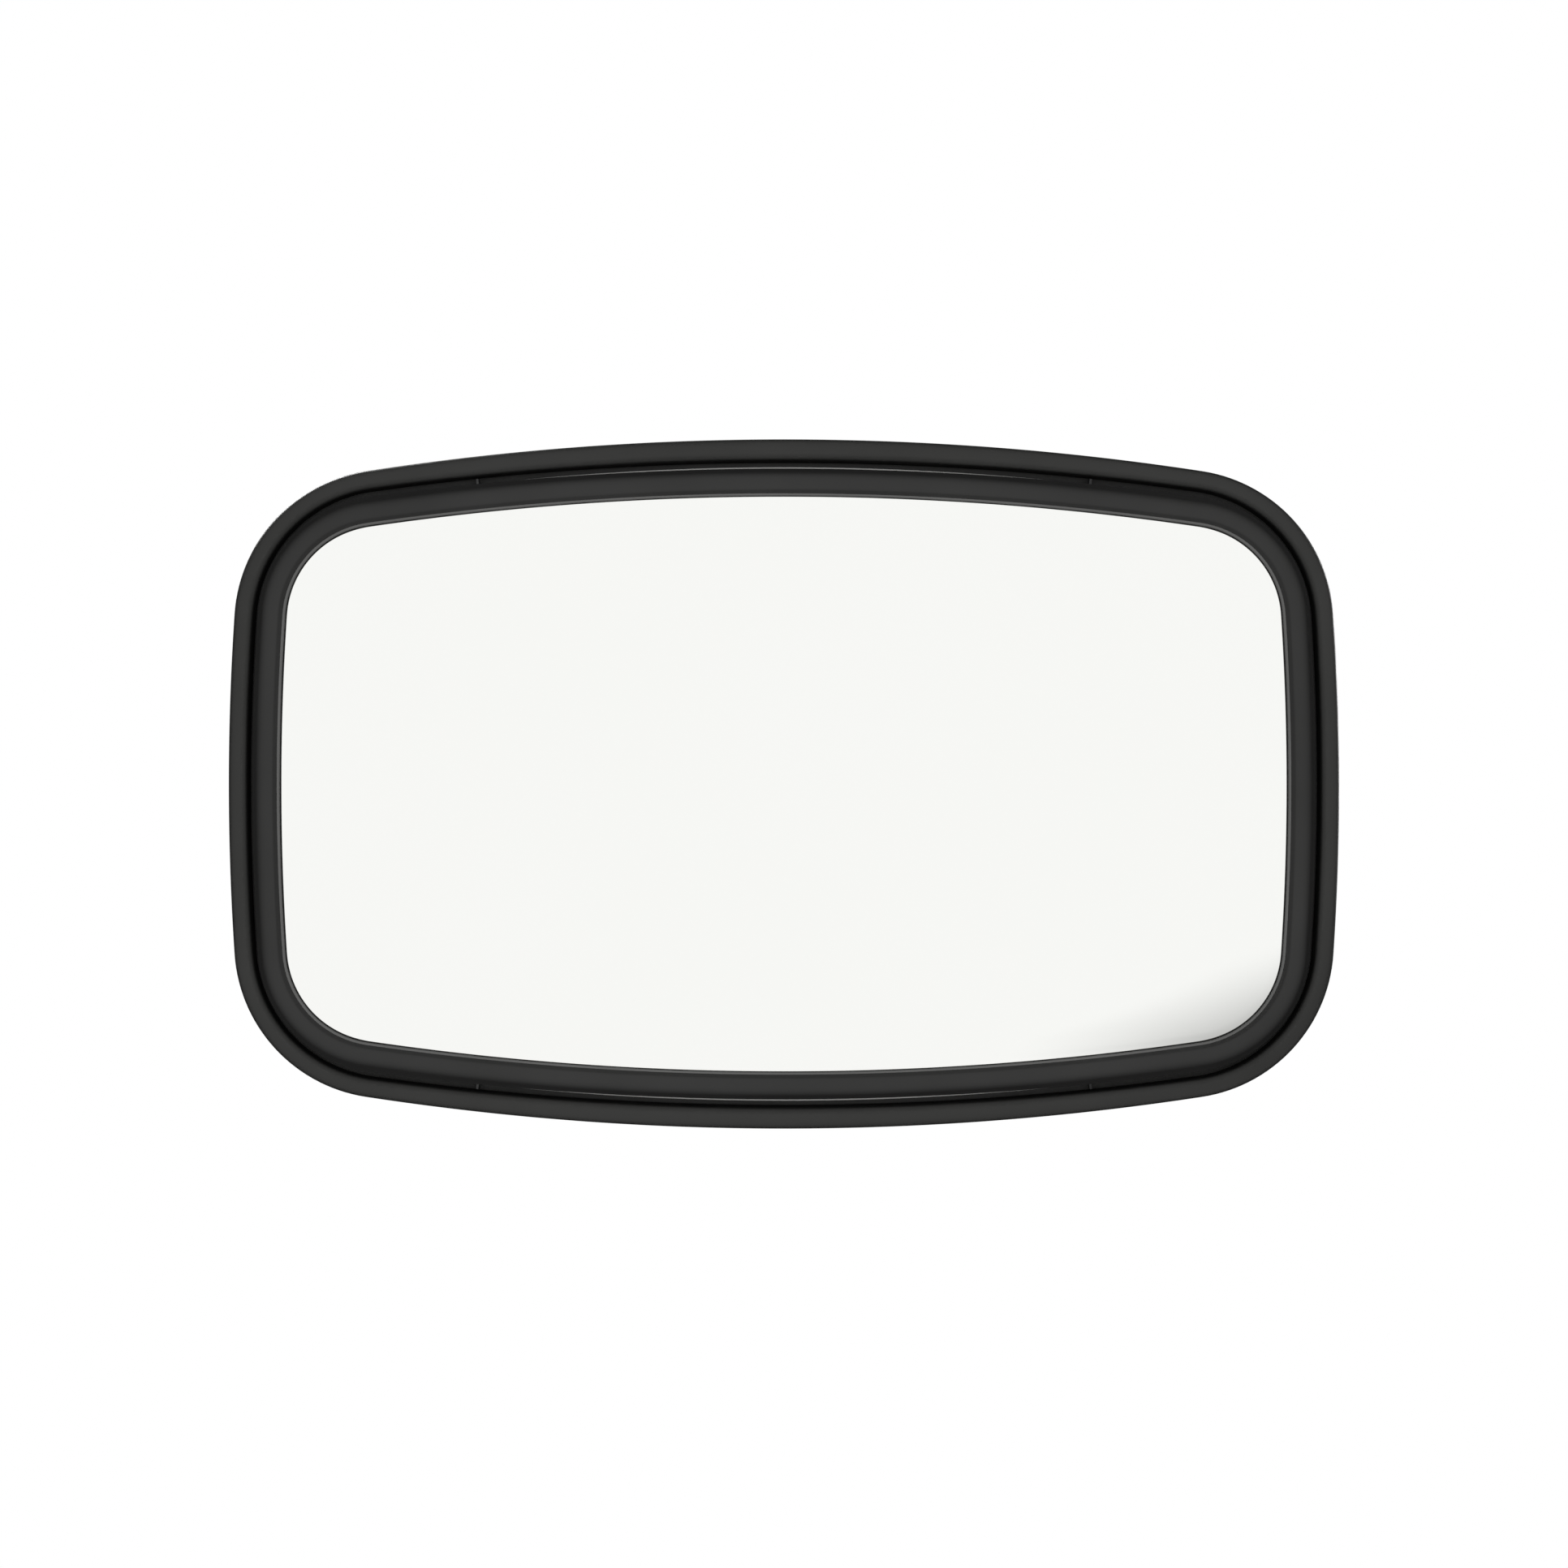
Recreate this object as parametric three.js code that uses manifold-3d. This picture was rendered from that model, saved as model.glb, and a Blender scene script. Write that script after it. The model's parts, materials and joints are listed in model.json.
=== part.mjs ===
// A rectangular convex security mirror on a two-pivot wall arm, in millimetres, +Z up.
// The origin is the centre of the wall bracket's back face. The wall lies at +Y and the mirror
// looks towards -Y. Depths inside the mirror head are given as `forward`, the distance in front
// of the plane in which the frame's outline is widest.
import * as THREE from "three";
import { mergeVertices } from "three/addons/utils/BufferGeometryUtils.js";
import Module from "manifold-3d";

// ---------------------------------------------------------------- driving dimensions

const GAP = 0.3; // clearance between pieces that rest on each other
const OVERRUN = 1; // how far a piece runs into what it joins, or past what it cuts
const QUARTER = Math.PI / 2;

// Outline of the mirror head: four bowed edges between four corner arcs with fixed centres.
const HALF_WIDTH = 300;
const HALF_HEIGHT = 186.3;
const CORNER_RADIUS = 83.8;
const CORNER_X = 213.3;
const CORNER_Z = 86.3;
const LONG_EDGE_SETBACK = 1.7; // the long edges of the inner outlines are this much flatter
const SETBACK_SPAN = 40; // the inset over which that flattening comes and goes
const SHORT_STEPS = 2; // facets on half of a short edge, on a corner and on half of a long edge
const CORNER_STEPS = 6;
const LONG_STEPS = 5;

// Where the axes lie.
const PAN_Y = -38;
const TILT_Y = -210;
const PIVOT_TO_FRAME = 72; // from the tilt axis to the plane of the frame's outline
const FRAME_Y = TILT_Y - PIVOT_TO_FRAME;

// Outer frame: a half-round roll, a groove floor and a ledge under the lens.
const ROLL_RADIUS = 5.4;
const GROOVE_FLOOR = -3;
const FRAME_BACK = -6;
const FRAME_WALL = 3;
const LEDGE_TOP = 15;
const LEDGE_INNER = 34;

// Inner bezel: a bead that rises from the groove and falls to the lip round the lens.
const BEZEL_OUTER = 16.6;
const BEZEL_WALL = 2.8;
const BEAD_SPRING = 19; // where the bead's curve starts
const BEAD_CREST_INSET = 26;
const BEAD_CREST = 28.5;
const BEAD_INNER_AXIS = 6.6; // half-axis of the bead's curve on the lens side
const LIP_INSET = 31.2;
const LIP_THICKNESS = 1;
const BEZEL_STEP_INSET = 28.7;

// Lens: a 3 mm sheet with a flat flange and a blown dome.
const LENS_THICKNESS = 3;
const DOME_RISE = 38;
const DOME_INSET = 30;
const DOME_RINGS = 6;
const GASKET_THICKNESS = 2.4;
const GASKET_INSETS = [21, 33];
const SEAL_INSETS = [29, 32.4];
const SEAL_THICKNESS = 1.2;

// Trim in the groove.
const STRIP_INSETS = [14.4, 15.6];
const STRIP_HEIGHT = 1.5;
const CLIP_X = 166;
const CLIP_WIDTH = 3;
const CLIP_THICKNESS = 1.2;
const CLIP_LEG = 7;

// Back shell.
const SHELL_THICKNESS = 2.5;
const SHELL_DEPTH = 19.2; // from the shell's flange to its flat back
const SHELL_EDGE_INSET = 3;
const SHELL_SLOPE_INSETS = [24, 48];
const SHELL_FOOT_RUN = 3;
const BOSS_SIZE = [156, 112];
const BOSS_HEIGHT = 4;
const BOSS_CORNER = 12;
const RIB_WIDTH = 4;
const RIB_HEIGHT = 2.5;
const RIB_REACH = [233, 124]; // how far out the ribs run along X and Z
const DRAIN_RADIUS = 4;
const DRAIN_PLACES = [-120, 0, 120];
const DRAIN_Z = 98;

// Reinforcing plate and screws of the head.
const PLATE_SIZE = [150, 106];
const PLATE_THICKNESS = 3;
const PLATE_SCREW_PLACE = [60, 40];
const SCREW_RADIUS = 2;
const SCREW_HEAD_RADIUS = 3.9;
const SCREW_HEAD_HEIGHT = 2.4;
const SCREW_HEAD_RIM = 1.2; // height of the head's straight side
const SCREW_CROWN_RADIUS = 2.3;
const SCREW_TIP = 1; // length of the cone at the point
const FRAME_SCREW_INSET = 8;
const FRAME_SCREW_LENGTH = 10;
const FRAME_SCREW_LONG_X = 100;

// Clamped pivots: the same M8 stack serves the pan axis and the tilt axis.
const BOLT_RADIUS = 4;
const BOLT_HOLE = 4.3;
const HEX_ACROSS_FLATS = 13;
const HEX_HEIGHT = 5.5;
const ARM_BOSS_HALF = 15.4;
const ARM_BOSS_RADIUS = 15;
const ARM_BOSS_BORE = 6.3;
const BUSH_RADIUS = 6;
const BUSH_FLANGE_RADIUS = 12;
const BUSH_FLANGE = 2;
const BUSH_LENGTH = 11;
const EAR_STEPS = 8;
const EAR_THICKNESS = 4;
const WASHER_RADIUS = 9;
const WASHER_THICKNESS = 1.6;
const INSERT_RADIUS = 6;
const INSERT_LENGTH = 13;
const KNOB_COLLAR_RADIUS = 10;
const KNOB_COLLAR = 7;
const KNOB_HEAD = 14;
const KNOB_RADIUS = 20;
const KNOB_LOBES = 6;
const KNOB_SCALLOP_RADIUS = 7;
const KNOB_SCALLOP_REACH = 23.2; // from the knob's axis to the centre of a scallop
const KNOB_ROUNDING = 2;
const KNOB_ROOF = 5;

// Wall bracket, arm and tilt clevis.
const WALL_PLATE_SIZE = [90, 120];
const WALL_PLATE_THICKNESS = 4;
const WALL_PLATE_CORNER = 10;
const WALL_HOLE_RADIUS = 3.5;
const WALL_HOLE_PLACE = [32, 47];
const WALL_EAR_ROOT = 26; // half-width of an ear where it meets the plate
const NECK_END_RADIUS = 11;
const NECK_WAIST_RADIUS = 8.5;
const NECK_END_SHARE = 0.12; // share of the arm's length that each full end takes
const NECK_WAIST_SHARE = 0.3; // where the waist starts, from either end
const CLEVIS_DISC_RADIUS = 40;
const CLEVIS_DISC = 4;
const CLEVIS_EAR_ROOT = 24;

// Roll pivot.
const FRICTION_DISC_RADIUS = 38;
const FRICTION_DISC = 2;
const SPRING_WASHER_RADIUS = 8.5;
const SPRING_WASHER_HEIGHT = 2.4;
const SPRING_WASHER_SHEET = 1;
const LOCK_NUT_HEIGHT = 8;
const ROLL_BOLT_SPARE = 2; // thread that stands out of the lock nut

// Facets round a turned piece, and on a corner of a flat one.
const FINE = 24;
const COARSE = 16;
const SMALL = 8;
const CURVE_STEPS = 5;

// ---------------------------------------------------------------- derived sizes

const EAR_INNER = ARM_BOSS_HALF + GAP + BUSH_FLANGE + GAP;
const EAR_OUTER = EAR_INNER + EAR_THICKNESS;
const WASHER_OUTER = EAR_OUTER + GAP + WASHER_THICKNESS;
const CLAMP_FACE = WASHER_OUTER + GAP; // where the bolt's head and the knob bear
const KNOB_TOP = CLAMP_FACE + KNOB_COLLAR + KNOB_HEAD;
const BORE_TOP = KNOB_TOP - KNOB_ROOF;

const BEZEL_INNER = BEZEL_OUTER + BEZEL_WALL;
const RISER_OUTER = BEZEL_INNER + GAP;
const LENS_BACK = LEDGE_TOP + GAP + GASKET_THICKNESS + GAP;
const LENS_FRONT = LENS_BACK + LENS_THICKNESS;
const LENS_EDGE_INSET = RISER_OUTER + 2 * GAP;
const BEZEL_SEAT = LENS_FRONT + GAP;
const BEAD_RISE = BEAD_CREST - BEAD_SPRING;
const LIP_ANGLE = Math.acos((LIP_INSET - BEAD_CREST_INSET) / BEAD_INNER_AXIS);
const LIP_UNDERSIDE = BEAD_SPRING + BEAD_RISE * Math.sin(LIP_ANGLE) - LIP_THICKNESS;
const SEAL_TOP = LIP_UNDERSIDE - GAP;

const SHELL_FRONT = FRAME_BACK - GAP;
const SHELL_FLANGE_BACK = SHELL_FRONT - SHELL_THICKNESS;
const SHELL_BACK = SHELL_FLANGE_BACK - SHELL_DEPTH;
const BOSS_BACK = SHELL_BACK - BOSS_HEIGHT;
const PLATE_BACK = SHELL_BACK + SHELL_THICKNESS + GAP;
const PLATE_FRONT = PLATE_BACK + PLATE_THICKNESS;

const FRICTION_FRONT = BOSS_BACK - GAP;
const DISC_FRONT = FRICTION_FRONT - FRICTION_DISC - GAP;
const DISC_BACK = DISC_FRONT - CLEVIS_DISC;
const ROLL_WASHER_FRONT = DISC_BACK - GAP;
const SPRING_WASHER_FRONT = ROLL_WASHER_FRONT - WASHER_THICKNESS - GAP;
const LOCK_NUT_FRONT = SPRING_WASHER_FRONT - SPRING_WASHER_HEIGHT - GAP;
const ROLL_BOLT_END = LOCK_NUT_FRONT - LOCK_NUT_HEIGHT - ROLL_BOLT_SPARE;

// ---------------------------------------------------------------- materials

const finish = (color, roughness, metalness = 0) =>
  new THREE.MeshStandardMaterial({ color, roughness, metalness });

const MATERIALS = {
  framePlastic: finish(0x2d2d2b, 0.42),
  bezelRubber: finish(0x2b2b2a, 0.5),
  sealRubber: finish(0x4a4a48, 0.45),
  stripPlastic: finish(0x7a7a76, 0.5),
  clipSteel: finish(0x3a3a3a, 0.4, 0.6),
  gasketFoam: finish(0x1c1c1c, 0.95),
  mirror: finish(0xf6f7f2, 0.03, 1),
  shellPlastic: finish(0x262626, 0.6),
  zincSteel: finish(0xb9bcc0, 0.35, 1),
  darkSteel: finish(0x303234, 0.45, 0.3),
  nylon: finish(0xe6e2d6, 0.55),
  knobPlastic: finish(0x1d1d1e, 0.5),
  brass: finish(0xb58d46, 0.35, 1),
  friction: finish(0x5b4a3c, 0.9),
};

// ---------------------------------------------------------------- joining and cutting

const wasm = await Module();
wasm.setup();

function solidOf(geometry) {
  const bare = geometry.clone();
  bare.deleteAttribute("normal");
  bare.deleteAttribute("uv");
  const merged = mergeVertices(bare, 1e-4);
  const mesh = new wasm.Mesh({
    numProp: 3,
    vertProperties: merged.attributes.position.array,
    triVerts: new Uint32Array(merged.index.array),
  });
  return new wasm.Manifold(mesh);
}

function geometryOf(solid) {
  const mesh = solid.getMesh();
  const geometry = new THREE.BufferGeometry();
  geometry.setAttribute("position", new THREE.BufferAttribute(mesh.vertProperties, 3));
  geometry.setIndex(new THREE.BufferAttribute(mesh.triVerts, 1));
  geometry.computeVertexNormals();
  return geometry;
}

const join = (first, ...others) =>
  geometryOf(others.reduce((sum, other) => sum.add(solidOf(other)), solidOf(first)));

const cut = (body, ...tools) =>
  geometryOf(tools.reduce((rest, tool) => rest.subtract(solidOf(tool)), solidOf(body)));

// ---------------------------------------------------------------- basic shapes

// A solid turned about local Z from a closed profile of [radius, height] pairs.
function turned(profile, facets = FINE) {
  const points = [...profile, profile[0]].map(([radius, height]) => new THREE.Vector2(radius, height));
  return new THREE.LatheGeometry(points, facets).rotateX(QUARTER);
}

// A plain rod along local Z from one height to another.
function rod(radius, from, to, facets = FINE) {
  const low = Math.min(from, to);
  const length = Math.abs(to - from);
  return new THREE.CylinderGeometry(radius, radius, length, facets)
    .rotateX(QUARTER)
    .translate(0, 0, low + length / 2);
}

// A ring with a square section, about local Z.
const washer = (outer, bore, from, to, facets = COARSE) =>
  turned([[bore, from], [outer, from], [outer, to], [bore, to]], facets);

// A hexagonal prism along local Z.
const hexagon = (from, to) => rod(HEX_ACROSS_FLATS / Math.sqrt(3), from, to, 6);

function roundedRectangle(width, height, corner) {
  const x = width / 2 - corner;
  const y = height / 2 - corner;
  const shape = new THREE.Shape();
  shape.absarc(x, y, corner, 0, QUARTER);
  shape.absarc(-x, y, corner, QUARTER, 2 * QUARTER);
  shape.absarc(-x, -y, corner, 2 * QUARTER, 3 * QUARTER);
  shape.absarc(x, -y, corner, 3 * QUARTER, 4 * QUARTER);
  return shape;
}

function roundHole(x, y, radius) {
  const hole = new THREE.Path();
  hole.absarc(x, y, radius, 0, 4 * QUARTER, true);
  return hole;
}

// A flat plate along local Z, cut from a shape.
function sheet(shape, from, to, curveSegments = CURVE_STEPS) {
  const depth = to - from;
  const flat = new THREE.ExtrudeGeometry(shape, { depth, curveSegments, bevelEnabled: false });
  return flat.translate(0, 0, from);
}

const fourWays = ([x, y]) => [[x, y], [-x, y], [-x, -y], [x, -y]];

// ---------------------------------------------------------------- the head's outline

const longEdgeSetback = (inset) =>
  inset < SETBACK_SPAN ? LONG_EDGE_SETBACK * Math.sin((Math.PI * inset) / SETBACK_SPAN) : 0;

// How far behind the middle the centre of an edge's arc lies. The arc reaches `reach` past its
// corner radius and touches the corner arc, whose centre is at (along, across) from the middle.
const bowCentre = (along, across, reach) =>
  (along ** 2 + across ** 2 - reach ** 2) / (2 * (reach - along));

const arcPoints = (x, y, radius, from, to, steps) =>
  new THREE.EllipseCurve(x, y, radius, radius, from, to).getPoints(steps);

// The outline `inset` millimetres inside the frame's edge, as points that run anticlockwise.
function outlinePoints(inset, setback = longEdgeSetback(inset)) {
  const corner = CORNER_RADIUS - inset;
  const halfWidth = HALF_WIDTH - inset;
  const halfHeight = HALF_HEIGHT - inset - setback;
  const shortCentre = bowCentre(CORNER_X, CORNER_Z, halfWidth - corner);
  const longCentre = bowCentre(CORNER_Z, CORNER_X, halfHeight - corner);
  const shortEnd = Math.atan2(CORNER_Z, CORNER_X + shortCentre);
  const longStart = Math.atan2(CORNER_Z + longCentre, CORNER_X);
  const quarter = [
    ...arcPoints(-shortCentre, 0, shortCentre + halfWidth, 0, shortEnd, SHORT_STEPS),
    ...arcPoints(CORNER_X, CORNER_Z, corner, shortEnd, longStart, CORNER_STEPS).slice(1),
    ...arcPoints(0, -longCentre, longCentre + halfHeight, longStart, QUARTER, LONG_STEPS).slice(1),
  ];
  const flip = (signX, signZ) => quarter.map((p) => new THREE.Vector2(signX * p.x, signZ * p.y));
  return [
    ...quarter.slice(0, -1),
    ...flip(-1, 1).reverse().slice(0, -1),
    ...flip(-1, -1).slice(0, -1),
    ...flip(1, -1).reverse().slice(0, -1),
  ];
}

const inSpace = (point, forward) => new THREE.Vector3(point.x, FRAME_Y - forward, point.y);

// One closed loop round the head, at an inset and a forward distance.
const loopAt = (inset, forward, setback) =>
  outlinePoints(inset, setback).map((point) => inSpace(point, forward));

// A closed skin over loops of equal length. With end points the first and last loops are capped
// there, and without them the last loop joins the first.
function loft(loops, startPoint, endPoint) {
  const count = loops[0].length;
  const points = loops.flat();
  const faces = [];
  const at = (loop, place) => (loop % loops.length) * count + (place % count);
  const bands = startPoint ? loops.length - 1 : loops.length;
  for (let band = 0; band < bands; band++) {
    for (let place = 0; place < count; place++) {
      faces.push(at(band, place), at(band, place + 1), at(band + 1, place + 1));
      faces.push(at(band, place), at(band + 1, place + 1), at(band + 1, place));
    }
  }
  if (startPoint) {
    points.push(startPoint, endPoint);
    for (let place = 0; place < count; place++) {
      faces.push(points.length - 2, at(0, place + 1), at(0, place));
      faces.push(at(loops.length - 1, place), at(loops.length - 1, place + 1), points.length - 1);
    }
  }
  const geometry = new THREE.BufferGeometry().setFromPoints(points);
  geometry.setIndex(faces);
  geometry.computeVertexNormals();
  return geometry;
}

// A ring round the head with a closed section of [inset, forward] pairs. The section's front
// runs from the outside inwards.
const ringOf = (section) => loft(section.map(([inset, forward]) => loopAt(inset, forward)));

// Part of an ellipse in a section, as [inset, forward] pairs. Angle 0 points at the head's
// middle and a quarter turn points forward.
function sectionArc(inset, forward, insetAxis, forwardAxis, from, to, steps) {
  const curve = new THREE.EllipseCurve(inset, forward, insetAxis, forwardAxis, from, to, to < from);
  return curve.getPoints(steps).map((point) => [point.x, point.y]);
}

// ---------------------------------------------------------------- the mirror head

function outerFrameGeometry() {
  const ring = ringOf([
    ...sectionArc(ROLL_RADIUS, 0, ROLL_RADIUS, ROLL_RADIUS, 2 * QUARTER, 0, 6),
    [2 * ROLL_RADIUS, GROOVE_FLOOR],
    [RISER_OUTER, GROOVE_FLOOR],
    [RISER_OUTER, LEDGE_TOP],
    [LEDGE_INNER, LEDGE_TOP],
    [LEDGE_INNER, LEDGE_TOP - FRAME_WALL],
    [RISER_OUTER + FRAME_WALL, LEDGE_TOP - FRAME_WALL],
    [RISER_OUTER + FRAME_WALL, FRAME_BACK],
    [ROLL_RADIUS, FRAME_BACK],
    ...sectionArc(ROLL_RADIUS, 0, ROLL_RADIUS, ROLL_RADIUS, 3 * QUARTER, 2 * QUARTER, 3).slice(1, -1),
  ]);
  return cut(ring, ...frameScrewPlaces().map((place) => frameScrewHole(place)));
}

function innerBezelGeometry() {
  const outerAxis = BEAD_CREST_INSET - BEZEL_OUTER;
  const rise = sectionArc(BEAD_CREST_INSET, BEAD_SPRING, outerAxis, BEAD_RISE, 2 * QUARTER, QUARTER, 4);
  const fall = sectionArc(BEAD_CREST_INSET, BEAD_SPRING, BEAD_INNER_AXIS, BEAD_RISE, QUARTER, LIP_ANGLE, 2);
  return ringOf([
    [BEZEL_OUTER, GROOVE_FLOOR + GAP],
    ...rise,
    ...fall.slice(1),
    [LIP_INSET, LIP_UNDERSIDE],
    [BEZEL_STEP_INSET, LIP_UNDERSIDE],
    [BEZEL_STEP_INSET, BEZEL_SEAT],
    [BEZEL_INNER, BEZEL_SEAT],
    [BEZEL_INNER, GROOVE_FLOOR + GAP],
  ]);
}

function lensSealGeometry() {
  const [outer, inner] = SEAL_INSETS;
  const round = SEAL_THICKNESS / 2;
  return ringOf([
    [outer, SEAL_TOP],
    ...sectionArc(inner - round, SEAL_TOP - round, round, round, QUARTER, -QUARTER, 2),
    [outer, SEAL_TOP - SEAL_THICKNESS],
  ]);
}

function lensGasketGeometry() {
  const [outer, inner] = GASKET_INSETS;
  const back = LEDGE_TOP + GAP;
  const front = back + GASKET_THICKNESS;
  return ringOf([[outer, front], [inner, front], [inner, back], [outer, back]]);
}

// The strip keeps one distance from the frame's outline, so the bezel, which is set back along the
// middle of the long edges, uncovers it there.
function seamStripGeometry() {
  const [outer, inner] = STRIP_INSETS;
  const back = GROOVE_FLOOR + GAP;
  const round = (inner - outer) / 2;
  const top = sectionArc(outer + round, back + STRIP_HEIGHT - round, round, round, 2 * QUARTER, 0, 2);
  const section = [[outer, back], ...top, [inner, back]];
  return loft(section.map(([inset, forward]) => loopAt(inset, forward, 0)));
}

// How far the blown sheet stands in front of its flange at a point of the opening: full in the
// middle, and falling to nothing along the four bowed edges.
function blownHeight(x, z) {
  const halfWidth = HALF_WIDTH - DOME_INSET;
  const halfHeight = HALF_HEIGHT - DOME_INSET - longEdgeSetback(DOME_INSET);
  const corner = CORNER_RADIUS - DOME_INSET;
  const shortBow = halfWidth + bowCentre(CORNER_X, CORNER_Z, halfWidth - corner);
  const longBow = halfHeight + bowCentre(CORNER_Z, CORNER_X, halfHeight - corner);
  const edgeX = halfWidth - z ** 2 / (2 * shortBow);
  const edgeZ = halfHeight - x ** 2 / (2 * longBow);
  return DOME_RISE * (1 - (x / edgeX) ** 2) * (1 - (z / edgeZ) ** 2);
}

// The dome at a share of the way from its middle to its edge. What is left of the height in the
// rounded corners is taken off, so the dome meets the flange all round.
function domeLoop(share, base) {
  return outlinePoints(DOME_INSET).map((edge) => {
    const point = edge.clone().multiplyScalar(share);
    const height = blownHeight(point.x, point.y) - share ** 4 * blownHeight(edge.x, edge.y);
    return inSpace(point, base + height);
  });
}

function mirrorLensGeometry() {
  const shares = Array.from({ length: DOME_RINGS }, (_, ring) => (ring + 1) / DOME_RINGS);
  const back = shares.map((share) => domeLoop(share, LENS_BACK));
  const front = shares.map((share) => domeLoop(share, LENS_FRONT)).reverse();
  const middle = new THREE.Vector2();
  return loft(
    [...back, loopAt(LENS_EDGE_INSET, LENS_BACK), loopAt(LENS_EDGE_INSET, LENS_FRONT), ...front],
    inSpace(middle, LENS_BACK + DOME_RISE),
    inSpace(middle, LENS_FRONT + DOME_RISE),
  );
}

// Ten places round the frame, as points with the inset of the screws.
function frameScrewPlaces() {
  const points = outlinePoints(FRAME_SCREW_INSET);
  const nearest = (x, z) => {
    const aim = new THREE.Vector2(x, z);
    return points.reduce((best, point) => (point.distanceTo(aim) < best.distanceTo(aim) ? point : best));
  };
  return [
    nearest(HALF_WIDTH, 0),
    nearest(-HALF_WIDTH, 0),
    ...fourWays([HALF_WIDTH, HALF_HEIGHT]).map(([x, z]) => nearest(x, z)),
    ...fourWays([FRAME_SCREW_LONG_X, HALF_HEIGHT]).map(([x, z]) => nearest(x, z)),
  ];
}

// Turns a piece made along local Z so that local Z points backwards, and sets it in the head.
const intoHead = (geometry, x = 0, z = 0) => geometry.rotateX(-QUARTER).translate(x, FRAME_Y, z);

const frameScrewHole = (place) => {
  const tip = SHELL_FLANGE_BACK + FRAME_SCREW_LENGTH;
  const hole = rod(SCREW_RADIUS + GAP, -tip - 2 * GAP, -SHELL_FLANGE_BACK + OVERRUN, SMALL);
  return intoHead(hole, place.x, place.y);
};

// A pan-head screw whose head bears on the face at `face`, given as a distance backwards.
function screwGeometry(face, length) {
  const seat = face + GAP;
  const crown = seat + SCREW_HEAD_HEIGHT;
  return turned(
    [
      [0, face - length],
      [SCREW_RADIUS, face - length + SCREW_TIP],
      [SCREW_RADIUS, seat],
      [SCREW_HEAD_RADIUS, seat],
      [SCREW_HEAD_RADIUS, seat + SCREW_HEAD_RIM],
      [SCREW_CROWN_RADIUS, crown],
      [0, crown],
    ],
    SMALL,
  );
}

// The raised ribs on the shell's flat back, from the boss out towards the sloping walls.
function shellRibs() {
  const [reachX, reachZ] = RIB_REACH;
  const root = SHELL_THICKNESS / 2;
  const ends = [...fourWays([reachX, reachZ / 2]), ...fourWays([reachX / 2, reachZ])];
  return ends.map(([endX, endZ]) => {
    const length = Math.hypot(endX, endZ);
    return new THREE.BoxGeometry(length, RIB_HEIGHT + root, RIB_WIDTH)
      .translate(length / 2, 0, 0)
      .rotateY(-Math.atan2(endZ, endX))
      .translate(0, FRAME_Y - SHELL_BACK + (RIB_HEIGHT - root) / 2, 0);
  });
}

function backShellGeometry() {
  const [foot, top] = SHELL_SLOPE_INSETS;
  const middle = new THREE.Vector2();
  const half = SHELL_THICKNESS / 2;
  const floor = SHELL_BACK + SHELL_THICKNESS;
  const tray = loft(
    [
      [top + SHELL_FOOT_RUN, SHELL_BACK],
      [top, SHELL_BACK + half],
      [foot + SHELL_FOOT_RUN, SHELL_FLANGE_BACK - half],
      [foot, SHELL_FLANGE_BACK],
      [SHELL_EDGE_INSET, SHELL_FLANGE_BACK],
      [SHELL_EDGE_INSET, SHELL_FRONT],
      [foot + half, SHELL_FRONT],
      [foot + SHELL_FOOT_RUN + half, SHELL_FRONT - half],
      [top + half, floor + half],
      [top + SHELL_FOOT_RUN + half, floor],
    ].map(([inset, forward]) => loopAt(inset, forward)),
    inSpace(middle, SHELL_BACK),
    inSpace(middle, floor),
  );
  const bossShape = roundedRectangle(...BOSS_SIZE, BOSS_CORNER);
  const boss = intoHead(sheet(bossShape, -SHELL_BACK - half, -BOSS_BACK));
  const holeReach = [-SHELL_BACK - 2 * SHELL_THICKNESS, -BOSS_BACK + OVERRUN];
  const drains = DRAIN_PLACES.flatMap((x) =>
    [-DRAIN_Z, DRAIN_Z].map((z) => intoHead(rod(DRAIN_RADIUS, ...holeReach, SMALL), x, z)),
  );
  const plateHoles = fourWays(PLATE_SCREW_PLACE).map(([x, z]) =>
    intoHead(rod(SCREW_RADIUS + GAP, ...holeReach, SMALL), x, z),
  );
  return cut(
    join(tray, boss, ...shellRibs()),
    intoHead(rod(BOLT_HOLE, ...holeReach, COARSE)),
    ...drains,
    ...plateHoles,
    ...frameScrewPlaces().map((place) => frameScrewHole(place)),
  );
}

function reinforcingPlateGeometry() {
  const shape = roundedRectangle(...PLATE_SIZE, BOSS_CORNER);
  shape.holes.push(roundHole(0, 0, BOLT_HOLE));
  fourWays(PLATE_SCREW_PLACE).forEach(([x, z]) => shape.holes.push(roundHole(x, z, SCREW_RADIUS + GAP)));
  return intoHead(sheet(shape, -PLATE_FRONT, -PLATE_BACK));
}

// A retaining clip in the groove: a foot across the groove and a leg along the bezel's wall. It
// is made for the top edge, with its origin on the roll's inner side.
function bezelClipGeometry() {
  const room = BEZEL_OUTER - 2 * ROLL_RADIUS - 2 * GAP;
  const foot = GROOVE_FLOOR + GAP + STRIP_HEIGHT + GAP;
  const shape = new THREE.Shape();
  shape.moveTo(0, foot);
  shape.lineTo(room, foot);
  shape.lineTo(room, foot + CLIP_LEG);
  shape.lineTo(room - CLIP_THICKNESS, foot + CLIP_LEG);
  shape.lineTo(room - CLIP_THICKNESS, foot + CLIP_THICKNESS);
  shape.lineTo(0, foot + CLIP_THICKNESS);
  shape.closePath();
  return sheet(shape, -CLIP_WIDTH / 2, CLIP_WIDTH / 2).rotateX(2 * QUARTER).rotateY(QUARTER);
}

// ---------------------------------------------------------------- brackets and pivots

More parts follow.
